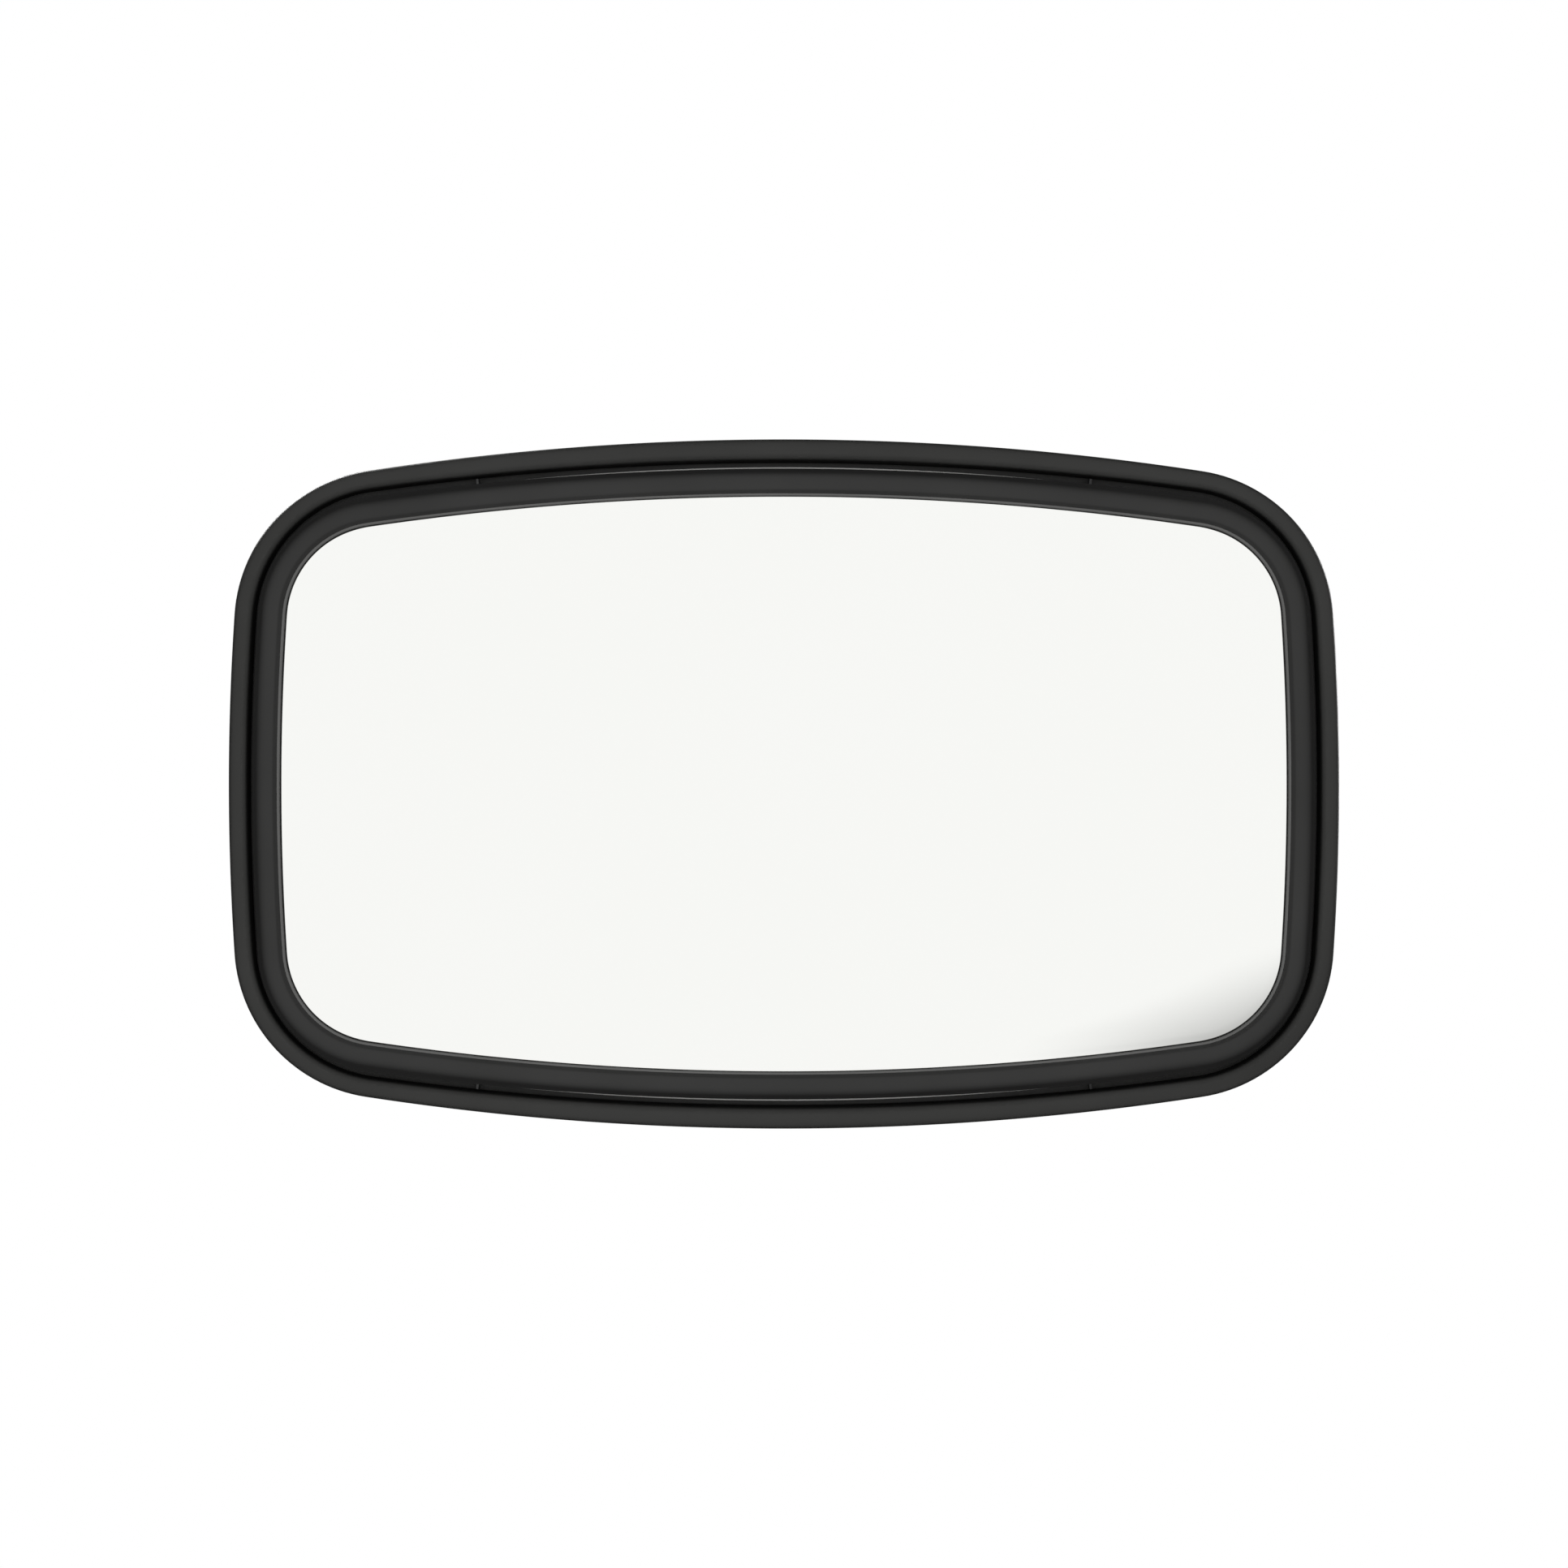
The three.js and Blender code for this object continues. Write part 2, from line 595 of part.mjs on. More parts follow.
// An ear of a clevis, drawn from its root line at `root` (below the axis) to a round end.
function earShape(rootHalfWidth, root) {
  const tangent = Math.acos(ARM_BOSS_RADIUS / Math.hypot(rootHalfWidth, root));
  const lean = Math.atan2(rootHalfWidth, root) + tangent - QUARTER;
  const shape = new THREE.Shape();
  shape.moveTo(-rootHalfWidth, -root);
  shape.lineTo(rootHalfWidth, -root);
  shape.absarc(0, 0, ARM_BOSS_RADIUS, -lean, 2 * QUARTER + lean);
  shape.closePath();
  shape.holes.push(roundHole(0, 0, BOLT_HOLE));
  return shape;
}

// Both ears of a clevis about local Z, with their roots towards local +Y.
function ears(rootHalfWidth, root) {
  const shape = earShape(rootHalfWidth, root);
  return [[-EAR_OUTER, -EAR_INNER], [EAR_INNER, EAR_OUTER]].map(([from, to]) =>
    sheet(shape, from, to, EAR_STEPS).rotateZ(2 * QUARTER),
  );
}

function wallBracketGeometry() {
  const shape = roundedRectangle(...WALL_PLATE_SIZE, WALL_PLATE_CORNER);
  fourWays(WALL_HOLE_PLACE).forEach(([x, z]) => shape.holes.push(roundHole(x, z, WALL_HOLE_RADIUS)));
  const plate = sheet(shape, 0, WALL_PLATE_THICKNESS).rotateX(QUARTER);
  const root = -PAN_Y - WALL_PLATE_THICKNESS / 2;
  const placed = ears(WALL_EAR_ROOT, root).map((ear) => ear.translate(0, PAN_Y, 0));
  return join(plate, ...placed);
}

// Turns a piece made about local Z so that local Z points along +X, keeping local Y.
const acrossArm = (geometry) => geometry.rotateY(QUARTER);

function tiltClevisGeometry() {
  const disc = intoHead(washer(CLEVIS_DISC_RADIUS, BOLT_HOLE, -DISC_FRONT, -DISC_BACK, FINE));
  const root = PIVOT_TO_FRAME + (DISC_FRONT + DISC_BACK) / 2;
  const placed = ears(CLEVIS_EAR_ROOT, root).map((ear) =>
    acrossArm(ear.rotateZ(2 * QUARTER)).translate(0, TILT_Y, 0),
  );
  return join(disc, ...placed);
}

function swivelArmGeometry() {
  const half = ARM_BOSS_HALF;
  const length = PAN_Y - TILT_Y;
  const panBoss = rod(ARM_BOSS_RADIUS, -half, half).translate(0, PAN_Y, 0);
  const tiltBoss = acrossArm(rod(ARM_BOSS_RADIUS, -half, half)).translate(0, TILT_Y, 0);
  const neck = turned([
    [0, 0],
    [NECK_END_RADIUS, 0],
    [NECK_END_RADIUS, NECK_END_SHARE * length],
    [NECK_WAIST_RADIUS, NECK_WAIST_SHARE * length],
    [NECK_WAIST_RADIUS, (1 - NECK_WAIST_SHARE) * length],
    [NECK_END_RADIUS, (1 - NECK_END_SHARE) * length],
    [NECK_END_RADIUS, length],
    [0, length],
  ], COARSE);
  const bore = () => rod(ARM_BOSS_BORE, -half - OVERRUN, half + OVERRUN, COARSE);
  const panBore = bore().translate(0, PAN_Y, 0);
  const tiltBore = acrossArm(bore()).translate(0, TILT_Y, 0);
  const placedNeck = neck.rotateX(QUARTER).translate(0, PAN_Y, 0);
  return cut(join(panBoss, tiltBoss, placedNeck), panBore, tiltBore);
}

// A flanged bush at the knob's end of an arm boss; the other one is its mirror image.
function bushGeometry() {
  const flange = ARM_BOSS_HALF + GAP;
  return turned([
    [BOLT_HOLE, flange + BUSH_FLANGE - BUSH_LENGTH],
    [BUSH_RADIUS, flange + BUSH_FLANGE - BUSH_LENGTH],
    [BUSH_RADIUS, flange],
    [BUSH_FLANGE_RADIUS, flange],
    [BUSH_FLANGE_RADIUS, flange + BUSH_FLANGE],
    [BOLT_HOLE, flange + BUSH_FLANGE],
  ], COARSE);
}

const boltGeometry = (headFace, end) =>
  join(hexagon(headFace - HEX_HEIGHT, headFace), rod(BOLT_RADIUS, headFace - OVERRUN, end, COARSE));

// The outline of a star knob: lobes on a circle, parted by round scallops.
function knobShape() {
  const shape = new THREE.Shape();
  const reach = KNOB_SCALLOP_REACH;
  const along = (KNOB_RADIUS ** 2 + reach ** 2 - KNOB_SCALLOP_RADIUS ** 2) / (2 * reach);
  const halfScallop = Math.acos(along / KNOB_RADIUS);
  const swing = Math.acos((reach - along) / KNOB_SCALLOP_RADIUS);
  const pitch = (4 * QUARTER) / KNOB_LOBES;
  for (let lobe = 0; lobe < KNOB_LOBES; lobe++) {
    const start = lobe * pitch;
    const x = reach * Math.cos(start);
    const y = reach * Math.sin(start);
    const inwards = start + Math.PI;
    shape.absarc(x, y, KNOB_SCALLOP_RADIUS, inwards + swing, inwards - swing, true);
    shape.absarc(0, 0, KNOB_RADIUS, start + halfScallop, start + pitch - halfScallop);
  }
  return shape;
}

// A star knob: a scalloped head on a round collar, with a blind bore for its insert.
function knobGeometry() {
  const head = new THREE.ExtrudeGeometry(knobShape(), {
    depth: KNOB_HEAD - 2 * KNOB_ROUNDING,
    curveSegments: 2,
    bevelSize: KNOB_ROUNDING,
    bevelOffset: -KNOB_ROUNDING,
    bevelThickness: KNOB_ROUNDING,
    bevelSegments: 1,
  }).translate(0, 0, CLAMP_FACE + KNOB_COLLAR + KNOB_ROUNDING);
  const collar = rod(KNOB_COLLAR_RADIUS, CLAMP_FACE, CLAMP_FACE + KNOB_COLLAR + OVERRUN, COARSE);
  const bore = rod(INSERT_RADIUS + GAP, CLAMP_FACE - OVERRUN, BORE_TOP, COARSE);
  return cut(join(head, collar), bore);
}

function springWasherGeometry() {
  const high = SPRING_WASHER_FRONT;
  const low = high - SPRING_WASHER_HEIGHT;
  return intoHead(turned([
    [BOLT_HOLE, -high],
    [SPRING_WASHER_RADIUS, -low - SPRING_WASHER_SHEET],
    [SPRING_WASHER_RADIUS, -low],
    [BOLT_HOLE, -high + SPRING_WASHER_SHEET],
  ], COARSE));
}

function lockNutGeometry() {
  const near = -LOCK_NUT_FRONT;
  const far = near + LOCK_NUT_HEIGHT;
  return intoHead(cut(hexagon(near, far), rod(BOLT_HOLE, near - OVERRUN, far + OVERRUN, COARSE)));
}

// ---------------------------------------------------------------- assembly

const mirror = new THREE.Group();

function add(parent, name, geometry, material) {
  const mesh = new THREE.Mesh(geometry, material);
  mesh.name = name;
  parent.add(mesh);
  return mesh;
}

// The bolt, washers, bushes, knob and insert of one clamped pivot, about the group's Z axis.
function addClampStack(group, prefix) {
  const wash = () => washer(WASHER_RADIUS, BOLT_HOLE, EAR_OUTER + GAP, WASHER_OUTER);
  const insertBase = CLAMP_FACE + GAP;
  const insertEnd = insertBase + INSERT_LENGTH;
  const insert = washer(INSERT_RADIUS, BOLT_HOLE, insertBase, insertEnd);
  add(group, prefix + "_bolt", boltGeometry(-CLAMP_FACE, insertEnd - OVERRUN), MATERIALS.zincSteel);
  add(group, prefix + "_head_washer", wash(), MATERIALS.zincSteel).rotation.x = Math.PI;
  add(group, prefix + "_knob_washer", wash(), MATERIALS.zincSteel);
  add(group, prefix + "_bush_head", bushGeometry(), MATERIALS.nylon).rotation.x = Math.PI;
  add(group, prefix + "_bush_knob", bushGeometry(), MATERIALS.nylon);
  add(group, prefix + "_knob", knobGeometry(), MATERIALS.knobPlastic);
  add(group, prefix + "_knob_insert", insert, MATERIALS.brass);
}

function addPivots() {
  const panAxis = new THREE.Group();
  panAxis.position.set(0, PAN_Y, 0);
  addClampStack(panAxis, "pan");
  const tiltAxis = new THREE.Group();
  tiltAxis.position.set(0, TILT_Y, 0);
  tiltAxis.rotation.y = QUARTER;
  addClampStack(tiltAxis, "tilt");
  mirror.add(panAxis, tiltAxis);
}

function addRollPivot() {
  const discNear = -FRICTION_FRONT;
  const washerNear = -ROLL_WASHER_FRONT;
  const disc = washer(FRICTION_DISC_RADIUS, BOLT_HOLE, discNear, discNear + FRICTION_DISC, FINE);
  const flat = washer(WASHER_RADIUS, BOLT_HOLE, washerNear, washerNear + WASHER_THICKNESS);
  const bolt = boltGeometry(-PLATE_FRONT - GAP, -ROLL_BOLT_END);
  add(mirror, "roll_bolt", intoHead(bolt), MATERIALS.zincSteel);
  add(mirror, "roll_friction_disc", intoHead(disc), MATERIALS.friction);
  add(mirror, "roll_washer", intoHead(flat), MATERIALS.zincSteel);
  add(mirror, "roll_spring_washer", springWasherGeometry(), MATERIALS.zincSteel);
  add(mirror, "roll_lock_nut", lockNutGeometry(), MATERIALS.zincSteel);
}

function addHead() {
  add(mirror, "outer_frame", outerFrameGeometry(), MATERIALS.framePlastic);
  add(mirror, "inner_bezel", innerBezelGeometry(), MATERIALS.bezelRubber);
  add(mirror, "lens_seal", lensSealGeometry(), MATERIALS.sealRubber);
  add(mirror, "lens_gasket", lensGasketGeometry(), MATERIALS.gasketFoam);
  add(mirror, "seam_strip", seamStripGeometry(), MATERIALS.stripPlastic);
  add(mirror, "mirror_lens", mirrorLensGeometry(), MATERIALS.mirror);
  add(mirror, "back_shell", backShellGeometry(), MATERIALS.shellPlastic);
  add(mirror, "reinforcing_plate", reinforcingPlateGeometry(), MATERIALS.zincSteel);
  frameScrewPlaces().forEach((place, index) => {
    const geometry = intoHead(screwGeometry(-SHELL_FLANGE_BACK, FRAME_SCREW_LENGTH), place.x, place.y);
    add(mirror, "frame_screw_" + String(index + 1).padStart(2, "0"), geometry, MATERIALS.darkSteel);
  });
  fourWays(PLATE_SCREW_PLACE).forEach(([x, z], index) => {
    const length = PLATE_FRONT - BOSS_BACK + SCREW_TIP;
    const geometry = intoHead(screwGeometry(-BOSS_BACK, length), x, z);
    add(mirror, "plate_screw_" + (index + 1), geometry, MATERIALS.zincSteel);
  });
}

// Clips sit across the groove on the long edges, square to the edge's bow.
function addBezelClips() {
  const roll = 2 * ROLL_RADIUS;
  const halfHeight = HALF_HEIGHT - roll - longEdgeSetback(roll);
  const centre = bowCentre(CORNER_Z, CORNER_X, halfHeight - (CORNER_RADIUS - roll));
  const reach = centre + halfHeight - GAP;
  const height = Math.sqrt(reach ** 2 - CLIP_X ** 2) - centre;
  fourWays([CLIP_X, height]).forEach(([x, z], index) => {
    const clip = add(mirror, "bezel_clip_" + (index + 1), bezelClipGeometry(), MATERIALS.clipSteel);
    clip.position.set(x, FRAME_Y, z);
    clip.rotation.y = Math.atan2(x, z + Math.sign(z) * centre);
  });
}

addHead();
addBezelClips();
addRollPivot();
addPivots();
add(mirror, "tilt_clevis", tiltClevisGeometry(), MATERIALS.darkSteel);
add(mirror, "swivel_arm", swivelArmGeometry(), MATERIALS.darkSteel);
add(mirror, "wall_bracket", wallBracketGeometry(), MATERIALS.darkSteel);

export default mirror;
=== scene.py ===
import json
import math

import bpy
from mathutils import Matrix, Vector


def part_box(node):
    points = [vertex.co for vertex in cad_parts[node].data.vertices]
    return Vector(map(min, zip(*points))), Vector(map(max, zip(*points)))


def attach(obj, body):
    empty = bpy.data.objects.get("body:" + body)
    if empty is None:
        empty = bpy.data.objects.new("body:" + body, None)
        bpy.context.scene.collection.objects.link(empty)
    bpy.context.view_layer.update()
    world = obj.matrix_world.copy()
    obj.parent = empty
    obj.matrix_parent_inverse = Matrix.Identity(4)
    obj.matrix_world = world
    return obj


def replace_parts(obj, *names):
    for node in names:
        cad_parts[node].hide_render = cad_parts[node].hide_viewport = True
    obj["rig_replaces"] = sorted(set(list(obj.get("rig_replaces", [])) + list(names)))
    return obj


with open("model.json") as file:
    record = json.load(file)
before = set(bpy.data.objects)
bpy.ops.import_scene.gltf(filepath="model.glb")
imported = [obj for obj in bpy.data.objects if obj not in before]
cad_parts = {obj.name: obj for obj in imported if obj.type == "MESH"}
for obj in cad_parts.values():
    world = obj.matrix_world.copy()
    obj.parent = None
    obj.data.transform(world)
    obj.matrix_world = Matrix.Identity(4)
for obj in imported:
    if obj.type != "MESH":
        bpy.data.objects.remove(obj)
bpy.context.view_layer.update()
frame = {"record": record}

MM = 0.001
GAP = 0.3
QUARTER = math.pi / 2

# Where the axes lie.
PAN_Y = -38.0
TILT_Y = -210.0
PIVOT_TO_FRAME = 72.0
FRAME_Y = TILT_Y - PIVOT_TO_FRAME

# Outline of the head: four bowed edges between corner arcs with fixed centres.
HALF_WIDTH = 300.0
HALF_HEIGHT = 186.3
CORNER_RADIUS = 83.8
CORNER_X = 213.3
CORNER_Z = 86.3
LONG_EDGE_SETBACK = 1.7
SETBACK_SPAN = 40.0
SHORT_STEPS = 22
CORNER_STEPS = 30
LONG_STEPS = 44

# Outer frame.
ROLL_RADIUS = 5.4
ROLL_SQUARENESS = 0.8  # 1 is a round section
ROLL_STEPS = 28
GROOVE_FLOOR = -3.0
FRAME_BACK = -6.0
FRAME_WALL = 3.0
LEDGE_TOP = 15.0
LEDGE_INNER = 34.0

# Inner bezel.
BEZEL_OUTER = 16.6
BEZEL_WALL = 2.8
BEAD_SPRING = 19.0
BEAD_OUTER_SHOULDER = (20.2, 24.8)  # where the straight flanks bend into the crest
BEAD_INNER_SHOULDER = (30.0, 27.3)
OUTER_SLOPE = 2.05
CREST_STRAIGHTENING = 0.7  # how much less than its sides the crest is set back on the long edges
BEAD_STEPS = 16
BEAD_CREST_INSET = 26.0
BEAD_CREST = 28.5
BEAD_INNER_AXIS = 6.6
LIP_INSET = 31.2
LIP_THICKNESS = 1.0
BEZEL_STEP_INSET = 28.7

# Lens, gasket and seal.
LENS_THICKNESS = 3.0
DOME_RISE = 38.0
DOME_INSET = 37.5
DOME_RINGS = 70
RIM_BEND = 3.0  # height within which the flange bends into the dome
RIM_REACH = 0.04  # share of the way from the middle over which the bend runs out on the flange
RIM_RINGS = 8
FLANGE_INSET = 25.5
GASKET_THICKNESS = 2.4
GASKET_INSETS = (21.0, 33.0)
SEAL_INSETS = (29.0, 32.4)
SEAL_THICKNESS = 2.0

# Trim in the groove.
STRIP_INSETS = (14.7, 15.6)
STRIP_HEIGHT = 1.5
CLIP_X = 166.0
CLIP_WIDTH = 1.4
CLIP_THICKNESS = 1.2
CLIP_LEG = 7.0

# Back shell, its plate and the head's screws.
SHELL_THICKNESS = 2.5
SHELL_DEPTH = 19.2
SHELL_EDGE_INSET = 3.0
SHELL_SLOPE_INSETS = (24.0, 48.0)
SHELL_FOOT_RUN = 3.0
BOSS_SIZE = (156.0, 112.0)
BOSS_HEIGHT = 4.0
BOSS_CORNER = 12.0
RIB_WIDTH = 4.0
RIB_HEIGHT = 2.5
RIB_REACH = (233.0, 124.0)
DRAIN_RADIUS = 4.0
DRAIN_PLACES = (-120.0, 0.0, 120.0)
DRAIN_Z = 98.0
PLATE_SIZE = (150.0, 106.0)
PLATE_THICKNESS = 3.0
PLATE_SCREW_PLACE = (60.0, 40.0)
SCREW_RADIUS = 2.0
SCREW_HEAD_RADIUS = 3.9
SCREW_HEAD_HEIGHT = 2.4
SCREW_HEAD_RIM = 1.2
FRAME_SCREW_LENGTH = 10.0

# Clamped pivots.
BOLT_RADIUS = 4.0
BOLT_HOLE = 4.3
THREAD_PITCH = 1.25
THREAD_DEPTH = 0.62
THREAD_LENGTH = 14.0
HEX_ACROSS_FLATS = 13.0
HEX_HEIGHT = 5.5
HEX_FACE = 0.93  # radius of its flat end over half its width
HEX_CHAMFER = math.radians(30)
ARM_BOSS_HALF = 15.4
ARM_BOSS_RADIUS = 15.0
ARM_BOSS_BORE = 6.3
BUSH_RADIUS = 6.0
BUSH_FLANGE_RADIUS = 12.0
BUSH_FLANGE = 2.0
BUSH_LENGTH = 11.0
EAR_THICKNESS = 4.0
WASHER_RADIUS = 9.0
WASHER_THICKNESS = 1.6
INSERT_RADIUS = 6.0
INSERT_LENGTH = 13.0
KNURL_TEETH = 36
KNURL_DEPTH = 0.24
KNOB_COLLAR_RADIUS = 10.0
KNOB_COLLAR = 7.0
KNOB_HEAD = 14.0
KNOB_RADIUS = 20.0
KNOB_LOBES = 6
KNOB_SCALLOP = 3.8
KNOB_ROOF = 5.0

# Wall bracket, arm and clevis.
WALL_PLATE_SIZE = (90.0, 120.0)
WALL_PLATE_THICKNESS = 4.0
WALL_PLATE_CORNER = 10.0
WALL_HOLE_RADIUS = 3.5
WALL_HOLE_PLACE = (32.0, 47.0)
WALL_EAR_ROOT = 26.0
NECK_END_RADIUS = 11.0
NECK_WAIST_RADIUS = 8.5
CLEVIS_DISC_RADIUS = 40.0
CLEVIS_DISC = 4.0
CLEVIS_EAR_ROOT = 24.0
WELD_RADIUS = 2.2

# Roll pivot.
FRICTION_DISC_RADIUS = 38.0
FRICTION_DISC = 2.0
SPRING_WASHER_RADIUS = 8.5
SPRING_WASHER_HEIGHT = 2.4
SPRING_WASHER_SHEET = 1.0
LOCK_NUT_HEIGHT = 8.0
ROLL_BOLT_SPARE = 2.0

# Derived sizes.
EAR_INNER = ARM_BOSS_HALF + GAP + BUSH_FLANGE + GAP
EAR_OUTER = EAR_INNER + EAR_THICKNESS
WASHER_OUTER = EAR_OUTER + GAP + WASHER_THICKNESS
CLAMP_FACE = WASHER_OUTER + GAP
KNOB_TOP = CLAMP_FACE + KNOB_COLLAR + KNOB_HEAD
BEZEL_INNER = BEZEL_OUTER + BEZEL_WALL
RISER_OUTER = BEZEL_INNER + GAP
LENS_BACK = LEDGE_TOP + GAP + GASKET_THICKNESS + GAP
LENS_FRONT = LENS_BACK + LENS_THICKNESS
LENS_EDGE_INSET = RISER_OUTER + 2 * GAP
BEZEL_SEAT = LENS_FRONT + GAP
BEAD_RISE = BEAD_CREST - BEAD_SPRING
LIP_ANGLE = math.acos((LIP_INSET - BEAD_CREST_INSET) / BEAD_INNER_AXIS)
LIP_UNDERSIDE = BEAD_SPRING + BEAD_RISE * math.sin(LIP_ANGLE) - LIP_THICKNESS
SEAL_TOP = LIP_UNDERSIDE - GAP
SHELL_FRONT = FRAME_BACK - GAP
SHELL_FLANGE_BACK = SHELL_FRONT - SHELL_THICKNESS
SHELL_BACK = SHELL_FLANGE_BACK - SHELL_DEPTH
BOSS_BACK = SHELL_BACK - BOSS_HEIGHT
PLATE_BACK = SHELL_BACK + SHELL_THICKNESS + GAP
PLATE_FRONT = PLATE_BACK + PLATE_THICKNESS
FRICTION_FRONT = BOSS_BACK - GAP
DISC_FRONT = FRICTION_FRONT - FRICTION_DISC - GAP
DISC_BACK = DISC_FRONT - CLEVIS_DISC
ROLL_WASHER_FRONT = DISC_BACK - GAP
SPRING_WASHER_FRONT = ROLL_WASHER_FRONT - WASHER_THICKNESS - GAP
LOCK_NUT_FRONT = SPRING_WASHER_FRONT - SPRING_WASHER_HEIGHT - GAP
ROLL_BOLT_END = LOCK_NUT_FRONT - LOCK_NUT_HEIGHT - ROLL_BOLT_SPARE

# Materials.
# Painted shade in grooves: ambient occlusion darkens the base colour there.
PAINTED_SHADE_OPENNESS = (0.23, 0.44)  # from fully darkened to plain
PAINTED_RECESS_SHADE = 0.12
WORN_POINTINESS = (0.53, 0.6)  # from plain to fully worn

# Studio, in metres: a normal lens straight in front of the mirror.
CAMERA_PLACE = (0.0, -1.46, 0.0)
CAMERA_LENS = 50.0
CAMERA_SENSOR = 36.0
FLOOR_HALF = 6.0
FLOOR_Z = -0.45
WORLD_LEVELS = (0.02, 1.0)  # behind the mirror and in front of it
WORLD_FADE = (0.0, 0.45)  # cosines of the angle to straight ahead at those levels
WORLD_SECONDHAND = 0.1  # share of it that reaches a matt surface by way of the lens
FLAG_HALF = (0.45, 0.0615)
FLAG_PLACE = (0.3815, -0.3221, -0.1012)
FLAG_TURN = (-0.0165, -0.4058, -0.0105)
FLAG_SPREAD = (0.2895, 0.0279)
FLAG_REACH = 2.2  # in spreads
FLAG_DARKEST = 0.28
LIGHT_AIM = Vector((0.0, -0.25, 0.0))
FRONT_LIGHT = ("front", (0.0, -1.45, 0.0), 0.5, 16.0)  # name, place, diameter and watts
BACK_LIGHTS = (
    ("back_key", (-1.1, 0.9, 1.2), 0.9, 38.0), ("back_fill", (1.4, 0.7, 0.3), 0.7, 16.0),
    ("back_wide", (0.3, 1.7, 0.2), 2.4, 12.0),
)


# ---- helpers


def rotation(angle, axis):
    return Matrix.Rotation(angle, 4, axis)


def new_object(name, data):
    made = bpy.data.objects.new(name, data)
    bpy.context.scene.collection.objects.link(made)
    return made


def new_node(tree, kind, **settings):
    made = tree.nodes.new(kind)
    for key, value in settings.items():
        setattr(made, key, value)
    return made


def mapped(tree, source, low, high, start, end, **settings):
    """A socket that runs from low to high as the source runs from start to end."""
    scaled = new_node(tree, "ShaderNodeMapRange", **settings)
    inputs = (("From Min", start), ("From Max", end), ("To Min", low), ("To Max", high))
    for socket, value in inputs:
        scaled.inputs[socket].default_value = value
    tree.links.new(source, scaled.inputs["Value"])
    return scaled.outputs["Result"]


def maths(tree, operation, *sources):
    made = new_node(tree, "ShaderNodeMath", operation=operation)
    for source, socket in zip(sources, made.inputs):
        tree.links.new(source, socket)
    return made.outputs["Value"]


# ---- materials


class Surface:
    """One procedural material: a Principled shader fed by noise in the object's own space."""

    def __init__(self, name, metallic=0.0, specular=0.5):
        self.material = bpy.data.materials.new(name)
        self.material.use_nodes = True
        self.tree = self.material.node_tree
        self.shader = self.tree.nodes["Principled BSDF"]
        self.shader.inputs["Metallic"].default_value = metallic
        self.shader.inputs["Specular IOR Level"].default_value = specular
        self.place = self.node("ShaderNodeTexCoord").outputs["Object"]

    def node(self, kind, **settings):
        return new_node(self.tree, kind, **settings)

    def link(self, source, target):
        self.tree.links.new(source, target)

    def noise(self, scale, detail=4.0, stretch=(1.0, 1.0, 1.0)):
        """Fractal noise with features about 1/scale metres across."""
        mapping = self.node("ShaderNodeMapping")
        mapping.inputs["Scale"].default_value = stretch
        self.link(self.place, mapping.inputs["Vector"])
        texture = self.node("ShaderNodeTexNoise")
        texture.inputs["Scale"].default_value = scale
        texture.inputs["Detail"].default_value = detail
        self.link(mapping.outputs["Vector"], texture.inputs["Vector"])
        return texture.outputs["Fac"]

    def cells(self, scale):
        texture = self.node("ShaderNodeTexVoronoi", feature="SMOOTH_F1")
        texture.inputs["Scale"].default_value = scale
        self.link(self.place, texture.inputs["Vector"])
        return texture.outputs["Distance"]

    def ranged(self, source, low, high, start=0.3, end=0.7):
        return mapped(self.tree, source, low, high, start, end)

    def blend(self, factor, first, second):
        """A colour mix; first and second are colours or sockets."""
        mix = self.node("ShaderNodeMix", data_type="RGBA")
        self.link(factor, mix.inputs["Factor"])
        for index, value in ((6, first), (7, second)):
            if isinstance(value, bpy.types.NodeSocket):
                self.link(value, mix.inputs[index])
            else:
                mix.inputs[index].default_value = (*value, 1.0)
        return mix.outputs[2]

    def colour(self, base, other, scale, wear=None, recess=None):
        """Base colour with soft patches of another, a lighter colour on worn edges and painted
        shade:
        a darker one in grooves up to about `recess` metres wide, where ambient occlusion finds
        them."""
        result = self.blend(self.ranged(self.noise(scale), 0.0, 1.0), base, other)
        if recess:
            # Painted shade: the base colour darkens where ambient occlusion finds grooves, in place
            # of the shade that falls there.
            open_sky = self.node("ShaderNodeAmbientOcclusion")
            open_sky.inputs["Distance"].default_value = recess
            shade = self.ranged(open_sky.outputs["AO"], 1.0, 0.0, *PAINTED_SHADE_OPENNESS)
            result = self.blend(shade, result, tuple(PAINTED_RECESS_SHADE * value for value in base))
        if wear:
            pointed = self.node("ShaderNodeNewGeometry").outputs["Pointiness"]
            edge = self.ranged(pointed, 0.0, 0.8, *WORN_POINTINESS)
            specks = self.ranged(self.noise(420.0), 0.0, 1.0, 0.42, 0.62)
            result = self.blend(maths(self.tree, "MULTIPLY", edge, specks), result, wear)
        self.link(result, self.shader.inputs["Base Color"])

    def roughness(self, low, high, scale, stretch=(1.0, 1.0, 1.0)):
        uneven = self.ranged(self.noise(scale, 5.0, stretch), low, high)
        self.link(uneven, self.shader.inputs["Roughness"])

    def relief(self, *layers):
        """Bump from (height socket, depth in metres) layers, the coarsest first."""
        normal = None
        for height, depth in layers:
            bump = self.node("ShaderNodeBump")
            bump.inputs["Distance"].default_value = depth
            self.link(height, bump.inputs["Height"])
            if normal:
                self.link(normal, bump.inputs["Normal"])
            normal = bump.outputs["Normal"]
        self.link(normal, self.shader.inputs["Normal"])


